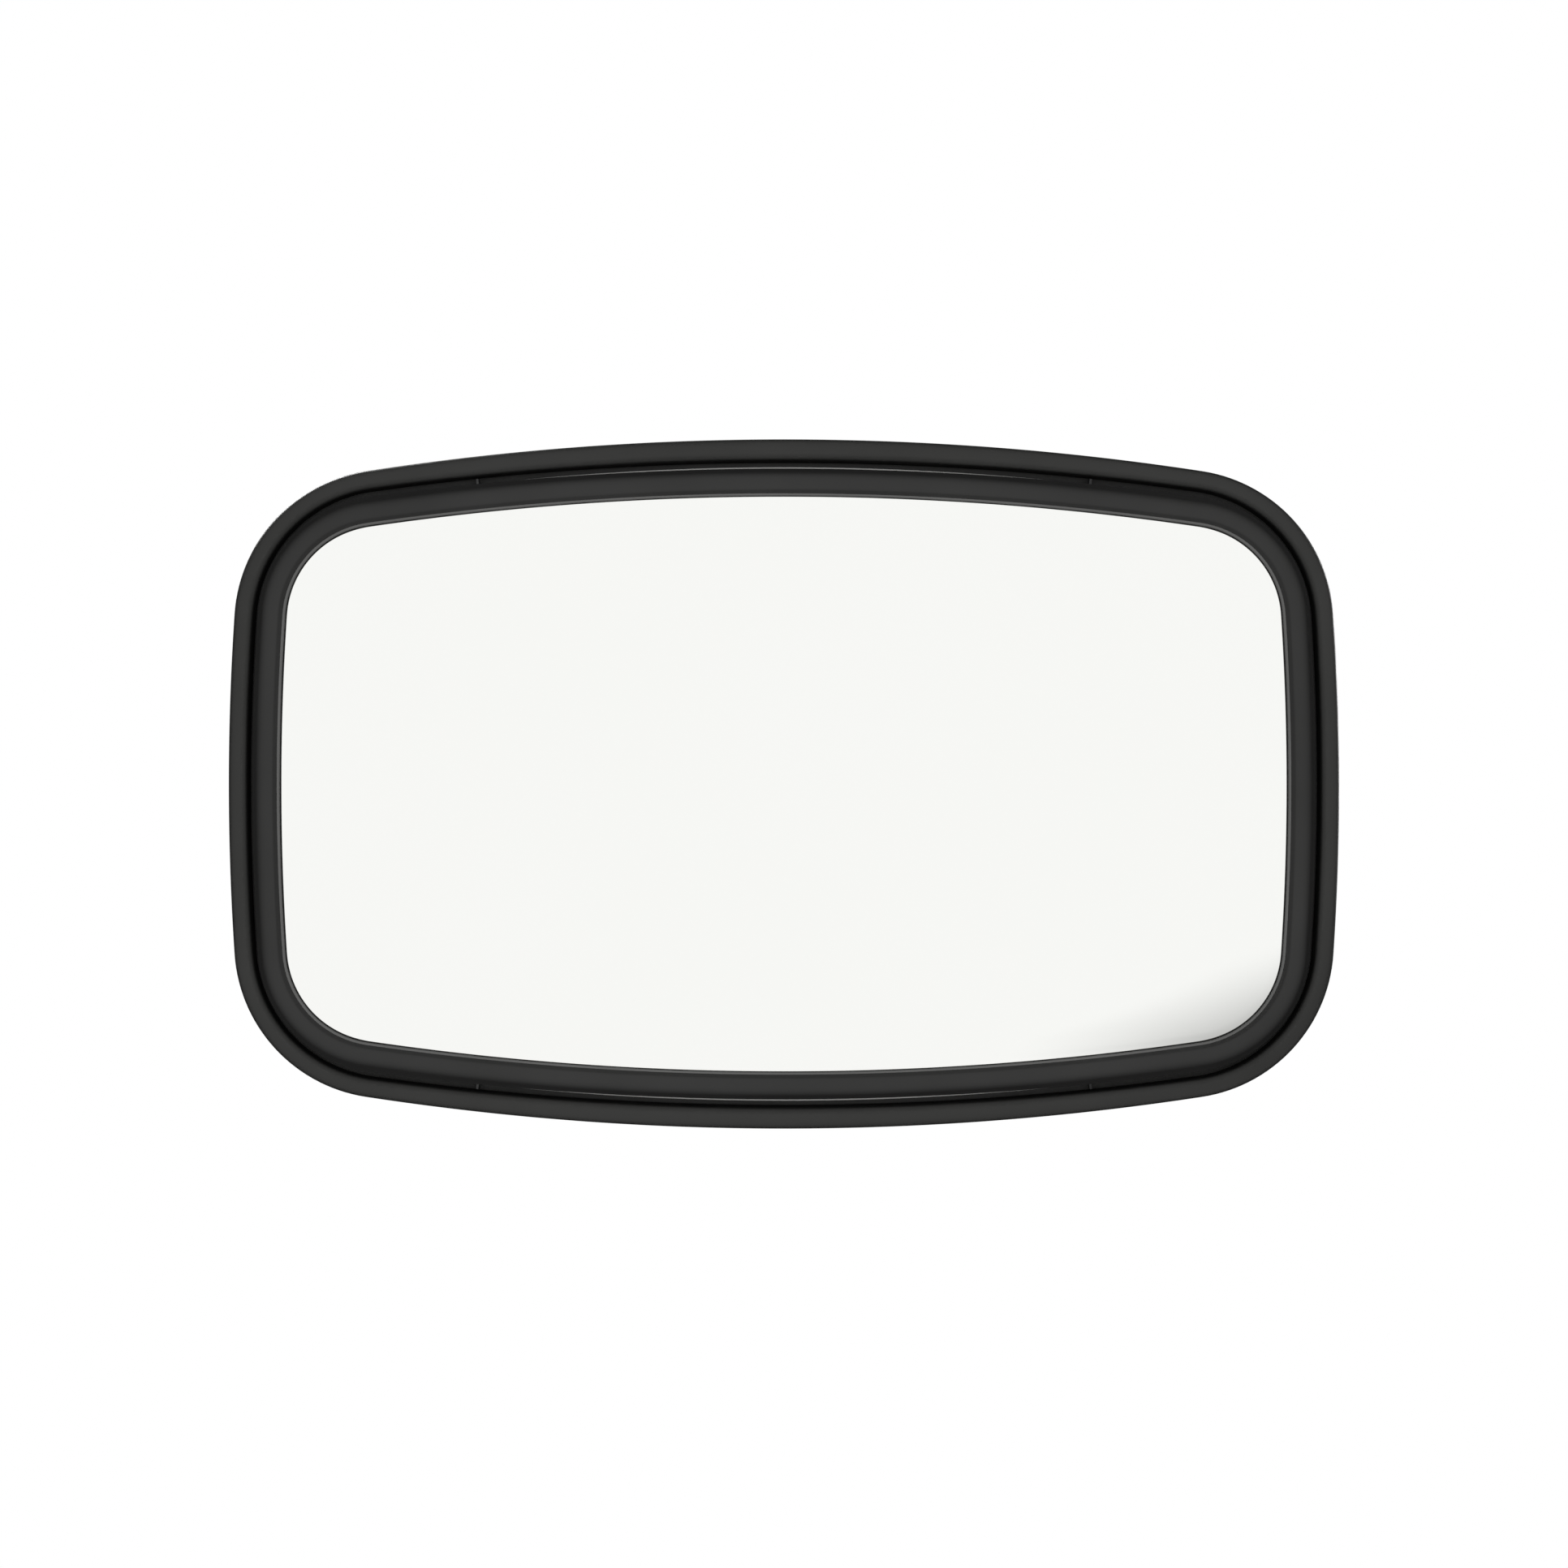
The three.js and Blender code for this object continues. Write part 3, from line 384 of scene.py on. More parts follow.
def moulded(name, base, other, rough, specular=0.4, grain=0.00005, wear=None, recess=None):
    """Moulded plastic or rubber: fine grain, faint flow marks and uneven gloss, and with `recess` a
    painted shade in its grooves.
    """
    surface = Surface(name, specular=specular)
    surface.colour(base, other, 14.0, wear, recess)
    surface.roughness(rough - 0.05, rough + 0.07, 60.0)
    surface.relief((surface.noise(30.0), 0.0002), (surface.noise(1500.0, 3.0), grain))
    return surface.material


def leathery(name, base, other, rough):
    """Vacuum-formed sheet with an embossed cell grain."""
    surface = Surface(name, specular=0.5)
    surface.colour(base, other, 10.0)
    surface.roughness(rough - 0.08, rough + 0.08, 45.0)
    waves, pits, grain = surface.noise(16.0), surface.cells(520.0), surface.noise(1800.0)
    surface.relief((waves, 0.0006), (pits, 0.00022), (grain, 0.00004))
    return surface.material


def powder_coated(name, base, other, rough, wear):
    """Powder coat with an orange-peel texture and bare spots on its edges."""
    surface = Surface(name, specular=0.5)
    surface.colour(base, other, 22.0, wear)
    surface.roughness(rough - 0.07, rough + 0.1, 70.0)
    surface.relief((surface.noise(700.0, 2.0), 0.00012), (surface.noise(2600.0, 2.0), 0.00003))
    return surface.material


def plated(name, base, other, rough):
    """Plated or bare metal with fine scratches and cloudy patches."""
    surface = Surface(name, metallic=1.0)
    surface.colour(base, other, 90.0)
    surface.roughness(rough - 0.08, rough + 0.14, 160.0)
    surface.relief((surface.noise(900.0), 0.00003))
    return surface.material


def silvered(name, base, other):
    """The lens: silvered acrylic, with a very faint waviness and wiped-on haze."""
    surface = Surface(name, metallic=1.0)
    surface.colour(base, other, 5.0)
    surface.roughness(0.015, 0.05, 9.0, (1.0, 1.0, 2.5))
    surface.relief((surface.noise(11.0, 1.0), 0.00002))
    return surface.material


def foam(name, base, other):
    """Closed-cell foam with open pores on its cut faces."""
    surface = Surface(name, specular=0.3)
    surface.colour(base, other, 200.0)
    surface.roughness(0.85, 0.98, 300.0)
    surface.relief((surface.cells(1400.0), 0.0003))
    return surface.material


FINISHES = {}


def finish(name, make, *values, **options):
    FINISHES[name] = make(name, *values, **options)


FRAME_BLACK = (0.027, 0.027, 0.026), (0.032, 0.032, 0.031)
BEZEL_BLACK = (0.029, 0.029, 0.0285), (0.034, 0.034, 0.0335)
KNOB_BLACK = (0.013, 0.013, 0.014), (0.018, 0.018, 0.019)
COATING_BLACK = (0.02, 0.02, 0.021), (0.027, 0.027, 0.028)
# The frame and bezel get painted shade in their grooves.
finish("frame_plastic", moulded, *FRAME_BLACK, 0.42, 0.12, recess=0.02)
finish("bezel_rubber", moulded, *BEZEL_BLACK, 0.5, 0.05, recess=0.02)
finish("seal_rubber", moulded, (0.085, 0.085, 0.083), (0.1, 0.1, 0.098), 0.5, 0.2)
finish("strip_plastic", moulded, (0.34, 0.34, 0.33), (0.3, 0.3, 0.29), 0.5, 0.3)
finish("clip_steel", plated, (0.075, 0.075, 0.075), (0.06, 0.06, 0.06), 0.5)
finish("gasket_foam", foam, (0.012, 0.012, 0.012), (0.02, 0.02, 0.02))
finish("mirror_face", silvered, (0.925, 0.93, 0.905), (0.93, 0.934, 0.912))
finish("shell_plastic", leathery, (0.018, 0.018, 0.018), (0.024, 0.024, 0.025), 0.5)
finish("zinc_steel", plated, (0.6, 0.62, 0.65), (0.52, 0.54, 0.55), 0.3)
finish("black_screw", plated, (0.06, 0.06, 0.063), (0.04, 0.04, 0.042), 0.36)
finish("powder_coat", powder_coated, *COATING_BLACK, 0.42, wear=(0.16, 0.16, 0.165))
finish("nylon", moulded, (0.72, 0.69, 0.6), (0.64, 0.61, 0.52), 0.5)
finish("knob_plastic", moulded, *KNOB_BLACK, 0.44, 0.5, grain=0.00009, wear=(0.05, 0.05, 0.05))
finish("brass", plated, (0.72, 0.5, 0.22), (0.6, 0.41, 0.17), 0.3)
finish("friction_fibre", foam, (0.1, 0.068, 0.045), (0.14, 0.1, 0.07))


# ---- showing pieces

FRONT_SLOTS = ("bezel_rubber", "seal_rubber", "strip_plastic", "clip_steel", "mirror_face")
SHOWN = []
RECORD = frame["record"]
BODIES = RECORD["behaviour"]["bodies"]
BODY_OF = {node: body for body, nodes in BODIES.items() for node in nodes}
SLOT_OF = {part["node"]: part["material_slot"] for part in RECORD["subparts"]}


def show(node, mesh, crease=32.0):
    """Puts a finished mesh, in millimetres, in the place of its CAD node."""
    mesh.transform(Matrix.Scale(MM, 4))
    mesh.name = node + "_fine"
    mesh.materials.clear()
    mesh.materials.append(FINISHES[SLOT_OF[node]])
    mesh.shade_smooth()
    mesh.set_sharp_from_angle(angle=math.radians(crease))
    piece = new_object(node + "_fine", mesh)
    even = piece.modifiers.new("even_shading", "WEIGHTED_NORMAL")
    even.keep_sharp = True
    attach(piece, BODY_OF[node])
    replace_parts(piece, node)
    SHOWN.append(piece)


def mesh_of(points, faces, name="part"):
    mesh = bpy.data.meshes.new(name)
    mesh.from_pydata([tuple(point) for point in points], [], faces)
    mesh.update()
    return mesh


def put(matrix, mesh):
    """The mesh itself, moved by the matrix."""
    mesh.transform(matrix)
    return mesh


def evaluated(source, modifiers):
    """The mesh of a temporary object after its modifiers, given as (type, settings) pairs."""
    holder = new_object("holder", source)
    for kind, settings in modifiers:
        modifier = holder.modifiers.new(kind, kind)
        for key, value in settings.items():
            setattr(modifier, key, value)
    graph = bpy.context.evaluated_depsgraph_get()
    result = bpy.data.meshes.new_from_object(holder.evaluated_get(graph))
    bpy.data.objects.remove(holder)
    return result


def combined(first, second, operation):
    """A boolean of two closed meshes."""
    tool = new_object("tool", second)
    settings = {"object": tool, "operation": operation, "solver": "EXACT"}
    result = evaluated(first, [("BOOLEAN", settings)])
    bpy.data.objects.remove(tool)
    return result


def gathered(meshes):
    """Several meshes as one, with no boolean."""
    points, faces = [], []
    for mesh in meshes:
        start = len(points)
        points += [vertex.co.copy() for vertex in mesh.vertices]
        faces += [[start + index for index in polygon.vertices] for polygon in mesh.polygons]
    return mesh_of(points, faces)


# ---- shapes


def bend(start, corner, end, steps):
    """Points of a quadratic curve from start to end whose tangents meet at the corner."""
    start, corner, end = Vector(start), Vector(corner), Vector(end)
    shares = [step / steps for step in range(steps + 1)]
    return [tuple(start * (1 - t) ** 2 + corner * 2 * t * (1 - t) + end * t**2) for t in shares]


def rounded(section, radius, closed=True, steps=4, smooth_below=0.45):
    """A section with each of its corners replaced by a short curve of about that radius."""
    result = []
    count = len(section)
    for index, corner in enumerate(section):
        if not closed and index in (0, count - 1):
            result.append(tuple(corner))
            continue
        here = Vector(corner)
        before = Vector(section[index - 1]) - here
        after = Vector(section[(index + 1) % count]) - here
        turn = math.pi - before.angle(after)
        if turn < smooth_below:
            result.append(tuple(corner))
            continue
        reach = min(radius * math.tan(turn / 2), 0.45 * before.length, 0.45 * after.length)
        start = here + before.normalized() * reach
        end = here + after.normalized() * reach
        result += bend(start, here, end, steps)
    return result


def loft(loops, start=None, end=None):
    """A closed skin over loops of equal length, capped at two points or joined into a ring."""
    count = len(loops[0])
    points = [point for loop in loops for point in loop]
    bands = len(loops) - 1 if start is not None else len(loops)
    faces = []
    for band in range(bands):
        near = band * count
        far = (band + 1) % len(loops) * count
        for place in range(count):
            after = (place + 1) % count
            faces.append((near + place, near + after, far + after, far + place))
    if start is not None:
        last = (len(loops) - 1) * count
        points += [start, end]
        for place in range(count):
            after = (place + 1) % count
            faces.append((len(points) - 2, after, place))
            faces.append((last + place, last + after, len(points) - 1))
    return mesh_of(points, faces)


def polar_loft(profile, facets, reach=None):
    """A solid about local Z from [radius, height] pairs. A profile that starts on the axis is
    capped there. `reach(radius, height, angle)` may change the radius and height of a point."""
    capped = profile[0][0] == 0
    rings = profile[1:-1] if capped else profile
    loops = []
    for radius, height in rings:
        loop = []
        for facet in range(facets):
            angle = 2 * math.pi * facet / facets
            r, z = reach(radius, height, angle) if reach else (radius, height)
            loop.append((r * math.cos(angle), r * math.sin(angle), z))
        loops.append(loop)
    if not capped:
        return loft(loops)
    return loft(loops, (0.0, 0.0, profile[0][1]), (0.0, 0.0, profile[-1][1]))


def lathe(profile, facets=96, edge=0.35):
    """A turned solid with eased edges."""
    closed = profile[0][0] != 0
    return polar_loft(rounded(profile, edge, closed), facets)


def washer(outer, bore, low, high, facets=96, edge=0.3):
    return lathe([(bore, low), (outer, low), (outer, high), (bore, high)], facets, edge)


def rod(radius, low, high, facets, edge=0.0):
    return washer(radius, 0, low, high, facets, edge)


def oval_arc(x, y, x_radius, y_radius, start, end, steps):
    """Points along part of an ellipse, both ends among them."""
    angles = [start + (end - start) * step / steps for step in range(steps + 1)]
    return [(x + x_radius * math.cos(a), y + y_radius * math.sin(a)) for a in angles]


def arc(x, y, radius, start, end, steps):
    return oval_arc(x, y, radius, radius, start, end, steps)


def rounded_rectangle(width, height, corner, steps=10):
    x, y = width / 2 - corner, height / 2 - corner
    points = []
    for turn, (cx, cy) in enumerate(four_ways((x, y))):
        points += arc(cx, cy, corner, turn * QUARTER, (turn + 1) * QUARTER, steps)
    return points


def circle(x, y, radius, steps=40):
    return arc(x, y, radius, 0.0, 2 * math.pi, steps)[:-1]


def sheet(outlines, low, high, edge=0.4):
    """A flat piece along local Z from closed outlines, the inner ones holes, with eased edges."""
    curve = bpy.data.curves.new("outline", "CURVE")
    curve.dimensions = "2D"
    curve.fill_mode = "BOTH"
    curve.extrude = (high - low) / 2 - edge
    curve.bevel_depth = edge
    curve.bevel_resolution = 2
    curve.offset = -edge
    for outline in outlines:
        spline = curve.splines.new("POLY")
        spline.points.add(len(outline) - 1)
        spline.use_cyclic_u = True
        for point, (x, y) in zip(spline.points, outline):
            point.co = (x, y, 0.0, 1.0)
    mesh = evaluated(curve, [])
    bpy.data.curves.remove(curve)
    welded = evaluated(mesh, [("WELD", {"merge_threshold": 0.001})])
    return put(Matrix.Translation((0.0, 0.0, (low + high) / 2)), welded)


def weld_bead(start, end):
    """A rippled fillet weld along a straight root, its axis on the corner line."""
    start, end = Vector(start), Vector(end)
    along = (end - start).normalized()
    side = along.orthogonal().normalized()
    up = along.cross(side)
    length = (end - start).length
    rings = max(8, int(length / 0.4))
    loops = []
    for ring in range(rings + 1):
        share = ring / rings
        taper = min(1.0, 6 * min(share, 1 - share) + 0.35)
        size = WELD_RADIUS * taper * (1 + 0.07 * math.sin(2 * math.pi * share * length / 1.9))
        centre = start + along * length * share
        turns = [2 * math.pi * k / 20 for k in range(20)]
        loops.append([centre + (side * math.cos(t) + up * math.sin(t)) * size for t in turns])
    return loft(loops, start, end)


def four_ways(place):
    x, y = place
    return [(x, y), (-x, y), (-x, -y), (x, -y)]


def in_head(x=0.0, z=0.0):
    """Takes local Z to the direction away from the viewer, with its origin in the frame's plane."""
    return Matrix.Translation((x, FRAME_Y, z)) @ rotation(-QUARTER, "X")


AT_PAN = Matrix.Translation((0.0, PAN_Y, 0.0))
AT_TILT = Matrix.Translation((0.0, TILT_Y, 0.0)) @ rotation(QUARTER, "Y")
FLIPPED = rotation(math.pi, "X")


# ---- the head's outline


def long_edge_setback(inset):
    """How much further in than the inset the long edges lie."""
    if inset >= SETBACK_SPAN:
        return 0.0
    return LONG_EDGE_SETBACK * math.sin(math.pi * inset / SETBACK_SPAN)


def bow_centre(along, across, reach):
    """How far behind the middle the centre of a bowed edge lies."""
    return (along**2 + across**2 - reach**2) / (2 * (reach - along))


def outline(inset, setback=None):
    """The head's outline at an inset, as (x, z) points."""
    if setback is None:
        setback = long_edge_setback(inset)
    corner = CORNER_RADIUS - inset
    half_width = HALF_WIDTH - inset
    half_height = HALF_HEIGHT - inset - setback
    short_centre = bow_centre(CORNER_X, CORNER_Z, half_width - corner)
    long_centre = bow_centre(CORNER_Z, CORNER_X, half_height - corner)
    short_end = math.atan2(CORNER_Z, CORNER_X + short_centre)
    long_start = math.atan2(CORNER_Z + long_centre, CORNER_X)
    quarter = (
        arc(-short_centre, 0.0, short_centre + half_width, 0.0, short_end, SHORT_STEPS)
        + arc(CORNER_X, CORNER_Z, corner, short_end, long_start, CORNER_STEPS)[1:]
        + arc(0.0, -long_centre, long_centre + half_height, long_start, QUARTER, LONG_STEPS)[1:]
    )
    left = [(-x, z) for x, z in reversed(quarter)]
    below = [(-x, -z) for x, z in quarter]
    right = [(x, -z) for x, z in reversed(quarter)]
    return quarter[:-1] + left[:-1] + below[:-1] + right[:-1]


def loop_at(inset, forward, setback=None):
    return [(x, FRAME_Y - forward, z) for x, z in outline(inset, setback)]


def ring_of(section, edge):
    """A ring round the head with a closed section of (inset, forward) pairs and eased edges."""
    return loft([loop_at(inset, forward) for inset, forward in rounded(section, edge)])


# ---- the mirror head


def squared(value):
    """Flattens a sine or cosine so that a round section comes out slightly squared."""
    return math.copysign(abs(value) ** ROLL_SQUARENESS, value)


def outer_frame():
    wall = RISER_OUTER + FRAME_WALL
    angles = [2 * QUARTER * (1 - step / ROLL_STEPS) for step in range(ROLL_STEPS + 1)]
    roll = [
        (ROLL_RADIUS * (1 + squared(math.cos(angle))), ROLL_RADIUS * squared(math.sin(angle)))
        for angle in angles
    ]
    back = arc(ROLL_RADIUS, 0.0, ROLL_RADIUS, 3 * QUARTER, 2 * QUARTER, 8)[1:-1]
    section = roll + [
        (2 * ROLL_RADIUS, GROOVE_FLOOR), (RISER_OUTER, GROOVE_FLOOR), (RISER_OUTER, LEDGE_TOP),
        (LEDGE_INNER, LEDGE_TOP), (LEDGE_INNER, LEDGE_TOP - FRAME_WALL),
        (wall, LEDGE_TOP - FRAME_WALL), (wall, FRAME_BACK), (ROLL_RADIUS, FRAME_BACK),
    ]
    return ring_of(section + back, 0.5)


def inner_bezel():
    """A bead with straight flanks, bent over into a nearly flat crest."""
    lip_top = LIP_UNDERSIDE + LIP_THICKNESS
    outer_inset, outer_height = BEAD_OUTER_SHOULDER
    inner_inset, inner_height = BEAD_INNER_SHOULDER
    outer_corner = outer_inset + (BEAD_CREST - outer_height) / OUTER_SLOPE
    inner_slope = (inner_height - lip_top) / (LIP_INSET - inner_inset)
    inner_corner = inner_inset - (BEAD_CREST - inner_height) / inner_slope
    crest = (BEAD_CREST_INSET, BEAD_CREST)
    section = (
        [(BEZEL_OUTER, GROOVE_FLOOR + GAP)]
        + [(BEZEL_OUTER, outer_height - (outer_inset - BEZEL_OUTER) * OUTER_SLOPE)]
        + bend(BEAD_OUTER_SHOULDER, (outer_corner, BEAD_CREST), crest, BEAD_STEPS)
        + bend(crest, (inner_corner, BEAD_CREST), BEAD_INNER_SHOULDER, BEAD_STEPS)[1:]
        + [
            (LIP_INSET, lip_top), (LIP_INSET, LIP_UNDERSIDE), (BEZEL_STEP_INSET, LIP_UNDERSIDE),
            (BEZEL_STEP_INSET, BEZEL_SEAT), (BEZEL_INNER, BEZEL_SEAT),
            (BEZEL_INNER, GROOVE_FLOOR + GAP),
        ]
    )
    loops = []
    for inset, forward in rounded(section, 0.45):
        across = min(1.0, (inset - BEZEL_OUTER) / (LIP_INSET - BEZEL_OUTER))
        kept = 1 - CREST_STRAIGHTENING * math.sin(math.pi * across)
        loops.append(loop_at(inset, forward, kept * long_edge_setback(inset)))
    return loft(loops)


def lens_seal():
    outer, inner = SEAL_INSETS
    half = SEAL_THICKNESS / 2
    nose = arc(inner - half, SEAL_TOP - half, half, QUARTER, -QUARTER, 10)
    return ring_of([(outer, SEAL_TOP)] + nose + [(outer, SEAL_TOP - SEAL_THICKNESS)], 0.2)


def lens_gasket():
    outer, inner = GASKET_INSETS
    back = LEDGE_TOP + GAP
    front = back + GASKET_THICKNESS
    return ring_of([(outer, front), (inner, front), (inner, back), (outer, back)], 0.3)


def seam_strip():
    """A strip at one distance from the frame's outline, which the bezel uncovers in the middle of
    the long edges."""
    outer, inner = STRIP_INSETS
    back = GROOVE_FLOOR + GAP
    half = (inner - outer) / 2
    top = arc(outer + half, back + STRIP_HEIGHT - half, half, 2 * QUARTER, 0.0, 8)
    section = [(outer, back)] + top + [(inner, back)]
    return loft([loop_at(inset, forward, 0.0) for inset, forward in section])


def blown_height(x, z):
    """How far the blown sheet stands in front of its flange before its corners are let down."""
    half_width = HALF_WIDTH - DOME_INSET
    half_height = HALF_HEIGHT - DOME_INSET - long_edge_setback(DOME_INSET)
    corner = CORNER_RADIUS - DOME_INSET
    short_bow = half_width + bow_centre(CORNER_X, CORNER_Z, half_width - corner)
    long_bow = half_height + bow_centre(CORNER_Z, CORNER_X, half_height - corner)
    edge_x = half_width - z**2 / (2 * short_bow)
    edge_z = half_height - x**2 / (2 * long_bow)
    return DOME_RISE * (1 - (x / edge_x) ** 2) * (1 - (z / edge_z) ** 2)


def dome_loop(share, base, rim):
    loop = []
    for edge_x, edge_z in rim:
        x, z = edge_x * share, edge_z * share
        height = blown_height(x, z) - share**4 * blown_height(edge_x, edge_z)
        if height < RIM_BEND:
            height = max(0.0, height + RIM_BEND) ** 2 / (4 * RIM_BEND)
        if share > 1:
            height *= (1 - ((share - 1) / RIM_REACH) ** 2) ** 2
        loop.append((x, FRAME_Y - base - height, z))
    return loop


def mirror_lens():
    rim = outline(DOME_INSET)
    shares = [(ring + 1) / DOME_RINGS for ring in range(DOME_RINGS)]
    shares += [1 + RIM_REACH * (ring + 1) / RIM_RINGS for ring in range(RIM_RINGS)]
    back = [dome_loop(share, LENS_BACK, rim) for share in shares]
    front = [dome_loop(share, LENS_FRONT, rim) for share in reversed(shares)]
    flange = [
        (FLANGE_INSET, LENS_BACK), (LENS_EDGE_INSET, LENS_BACK), (LENS_EDGE_INSET, LENS_FRONT),
        (FLANGE_INSET, LENS_FRONT),
    ]
    edge = [loop_at(inset, forward) for inset, forward in rounded(flange, 0.3, closed=False)]
    middle = FRAME_Y - DOME_RISE
    ends = [(0.0, middle - face, 0.0) for face in (LENS_BACK, LENS_FRONT)]
    return loft(back + edge + front, *ends)


def shell_rib(end_x, end_z):
    """One rib with drafted sides and rounded ends, from the middle out."""
    length = math.hypot(end_x, end_z)
    bar = rounded_rectangle(length, RIB_WIDTH, RIB_WIDTH / 2 - 0.01)
    rib = sheet([bar], -SHELL_BACK - SHELL_THICKNESS / 2, -SHELL_BACK + RIB_HEIGHT, 1.1)
    turn = rotation(-math.atan2(end_z, end_x), "Z")
    return put(in_head() @ turn @ Matrix.Translation((length / 2, 0.0, 0.0)), rib)


def back_shell():
    foot, top = SHELL_SLOPE_INSETS
    half = SHELL_THICKNESS / 2
    floor = SHELL_BACK + SHELL_THICKNESS
    run = SHELL_FOOT_RUN
    outside = [
        (HALF_HEIGHT / 2, SHELL_BACK), (top + run, SHELL_BACK), (top, SHELL_BACK + half),
        (foot + run, SHELL_FLANGE_BACK - half), (foot, SHELL_FLANGE_BACK),
        (SHELL_EDGE_INSET, SHELL_FLANGE_BACK),
    ]
    inside = [
        (SHELL_EDGE_INSET, SHELL_FRONT), (foot + half, SHELL_FRONT),
        (foot + run + half, SHELL_FRONT - half), (top + half, floor + half),
        (top + run + half, floor), (HALF_HEIGHT / 2, floor),
    ]
    eased = rounded(outside + inside, 2.6, closed=False, steps=5, smooth_below=0.2)[1:-1]
    ends = [(0.0, FRAME_Y - face, 0.0) for face in (SHELL_BACK, floor)]
    tray = loft([loop_at(inset, forward) for inset, forward in eased], *ends)
    boss = sheet([rounded_rectangle(*BOSS_SIZE, BOSS_CORNER)], -SHELL_BACK - half, -BOSS_BACK, 1.3)
    solid = combined(tray, put(in_head(), boss), "UNION")
    reach_x, reach_z = RIB_REACH
    for end_x, end_z in four_ways((reach_x, reach_z / 2)) + four_ways((reach_x / 2, reach_z)):
        solid = combined(solid, shell_rib(end_x, end_z), "UNION")
    low, high = -SHELL_BACK - 2 * SHELL_THICKNESS, -BOSS_BACK + 1.0
    holes = [(0.0, 0.0, BOLT_HOLE)]
    holes += [(x, z, DRAIN_RADIUS) for x in DRAIN_PLACES for z in (-DRAIN_Z, DRAIN_Z)]
    holes += [(x, z, SCREW_RADIUS + GAP) for x, z in four_ways(PLATE_SCREW_PLACE)]
    rods = [put(in_head(x, z), rod(radius, low, high, 40)) for x, z, radius in holes]
    return combined(solid, gathered(rods), "DIFFERENCE")


def reinforcing_plate():
    holes = [circle(0.0, 0.0, BOLT_HOLE)]
    holes += [circle(x, z, SCREW_RADIUS + GAP, 24) for x, z in four_ways(PLATE_SCREW_PLACE)]
    plate = sheet([rounded_rectangle(*PLATE_SIZE, BOSS_CORNER)] + holes, -PLATE_FRONT, -PLATE_BACK)
    return put(in_head(), plate)


def bezel_clip(x, height, turn):
    room = BEZEL_OUTER - 2 * ROLL_RADIUS - 2 * GAP
    foot = GROOVE_FLOOR + GAP + STRIP_HEIGHT + GAP
    profile = [
        (0.0, foot), (room, foot), (room, foot + CLIP_LEG),
        (room - CLIP_THICKNESS, foot + CLIP_LEG), (room - CLIP_THICKNESS, foot + CLIP_THICKNESS),
        (0.0, foot + CLIP_THICKNESS),
    ]
    clip = sheet([rounded(profile, 0.5)], -CLIP_WIDTH / 2, CLIP_WIDTH / 2, 0.15)
    stand = rotation(QUARTER, "Y") @ rotation(2 * QUARTER, "X")
    place = Matrix.Translation((x, FRAME_Y, height)) @ rotation(turn, "Y")
    return put(place @ stand, clip)


def show_bezel_clips():
    roll = 2 * ROLL_RADIUS
    half_height = HALF_HEIGHT - roll - long_edge_setback(roll)
    centre = bow_centre(CORNER_Z, CORNER_X, half_height - (CORNER_RADIUS - roll))
    reach = centre + half_height - GAP
    height = math.sqrt(reach**2 - CLIP_X**2) - centre
    for index, (x, z) in enumerate(four_ways((CLIP_X, height))):
        turn = math.atan2(x, z + math.copysign(centre, z))
        show(f"bezel_clip_{index + 1}", bezel_clip(x, z, turn))


# ---- fasteners


def hex_reach(crown):
    """A reach function for a hexagon whose corners are chamfered at its lower end, `crown`."""
    flat = HEX_ACROSS_FLATS / 2
    face = HEX_FACE * flat

    def reach(radius, height, angle):
        if radius < flat:
            return radius, height
        corner = flat / math.cos((angle % (math.pi / 3)) - math.pi / 6)
        if abs(height - crown) < 0.01:
            return corner, crown + (corner - face) * math.tan(HEX_CHAMFER)
        return corner, height

    return reach


def thread_rings(low, high):
    """Heights at which a thread is cut, closely spaced so that its flanks show."""
    count = int((high - low) / 0.16)
    return [low + (high - low) * step / count for step in range(count + 1)]


def bolt(head_face, end):
    """A hex bolt along local Z with its head below `head_face` and its thread at `end`."""
    flat = HEX_ACROSS_FLATS / 2
    crown = head_face - HEX_HEIGHT
    head = hex_reach(crown)
    thread_start = end - THREAD_LENGTH

    def reach(radius, height, angle):
        if radius >= flat:
            return head(radius, height, angle)
        if radius == BOLT_RADIUS and thread_start < height < end - 0.7:
            turn = (height / THREAD_PITCH - angle / (2 * math.pi)) % 1.0
            fade = min(1.0, (height - thread_start) / 2.0)
            return BOLT_RADIUS - THREAD_DEPTH * fade * (1 - abs(2 * turn - 1)), height
        return radius, height

    profile = [(0, crown + 0.25), (0.55 * flat, crown + 0.2), (0.6 * flat, crown)]
    profile += [(HEX_FACE * flat, crown), (flat, crown), (flat, head_face - 0.4)]
    profile += [(0.98 * flat, head_face), (BOLT_RADIUS + 0.5, head_face)]
    profile += [(BOLT_RADIUS, head_face + 0.5), (BOLT_RADIUS, thread_start)]
    profile += [(BOLT_RADIUS, height) for height in thread_rings(thread_start + 0.1, end - 0.75)]
    profile += [(BOLT_RADIUS - THREAD_DEPTH, end - 0.1), (BOLT_RADIUS - 1.0, end), (0, end)]
    return polar_loft(profile, 72, reach)


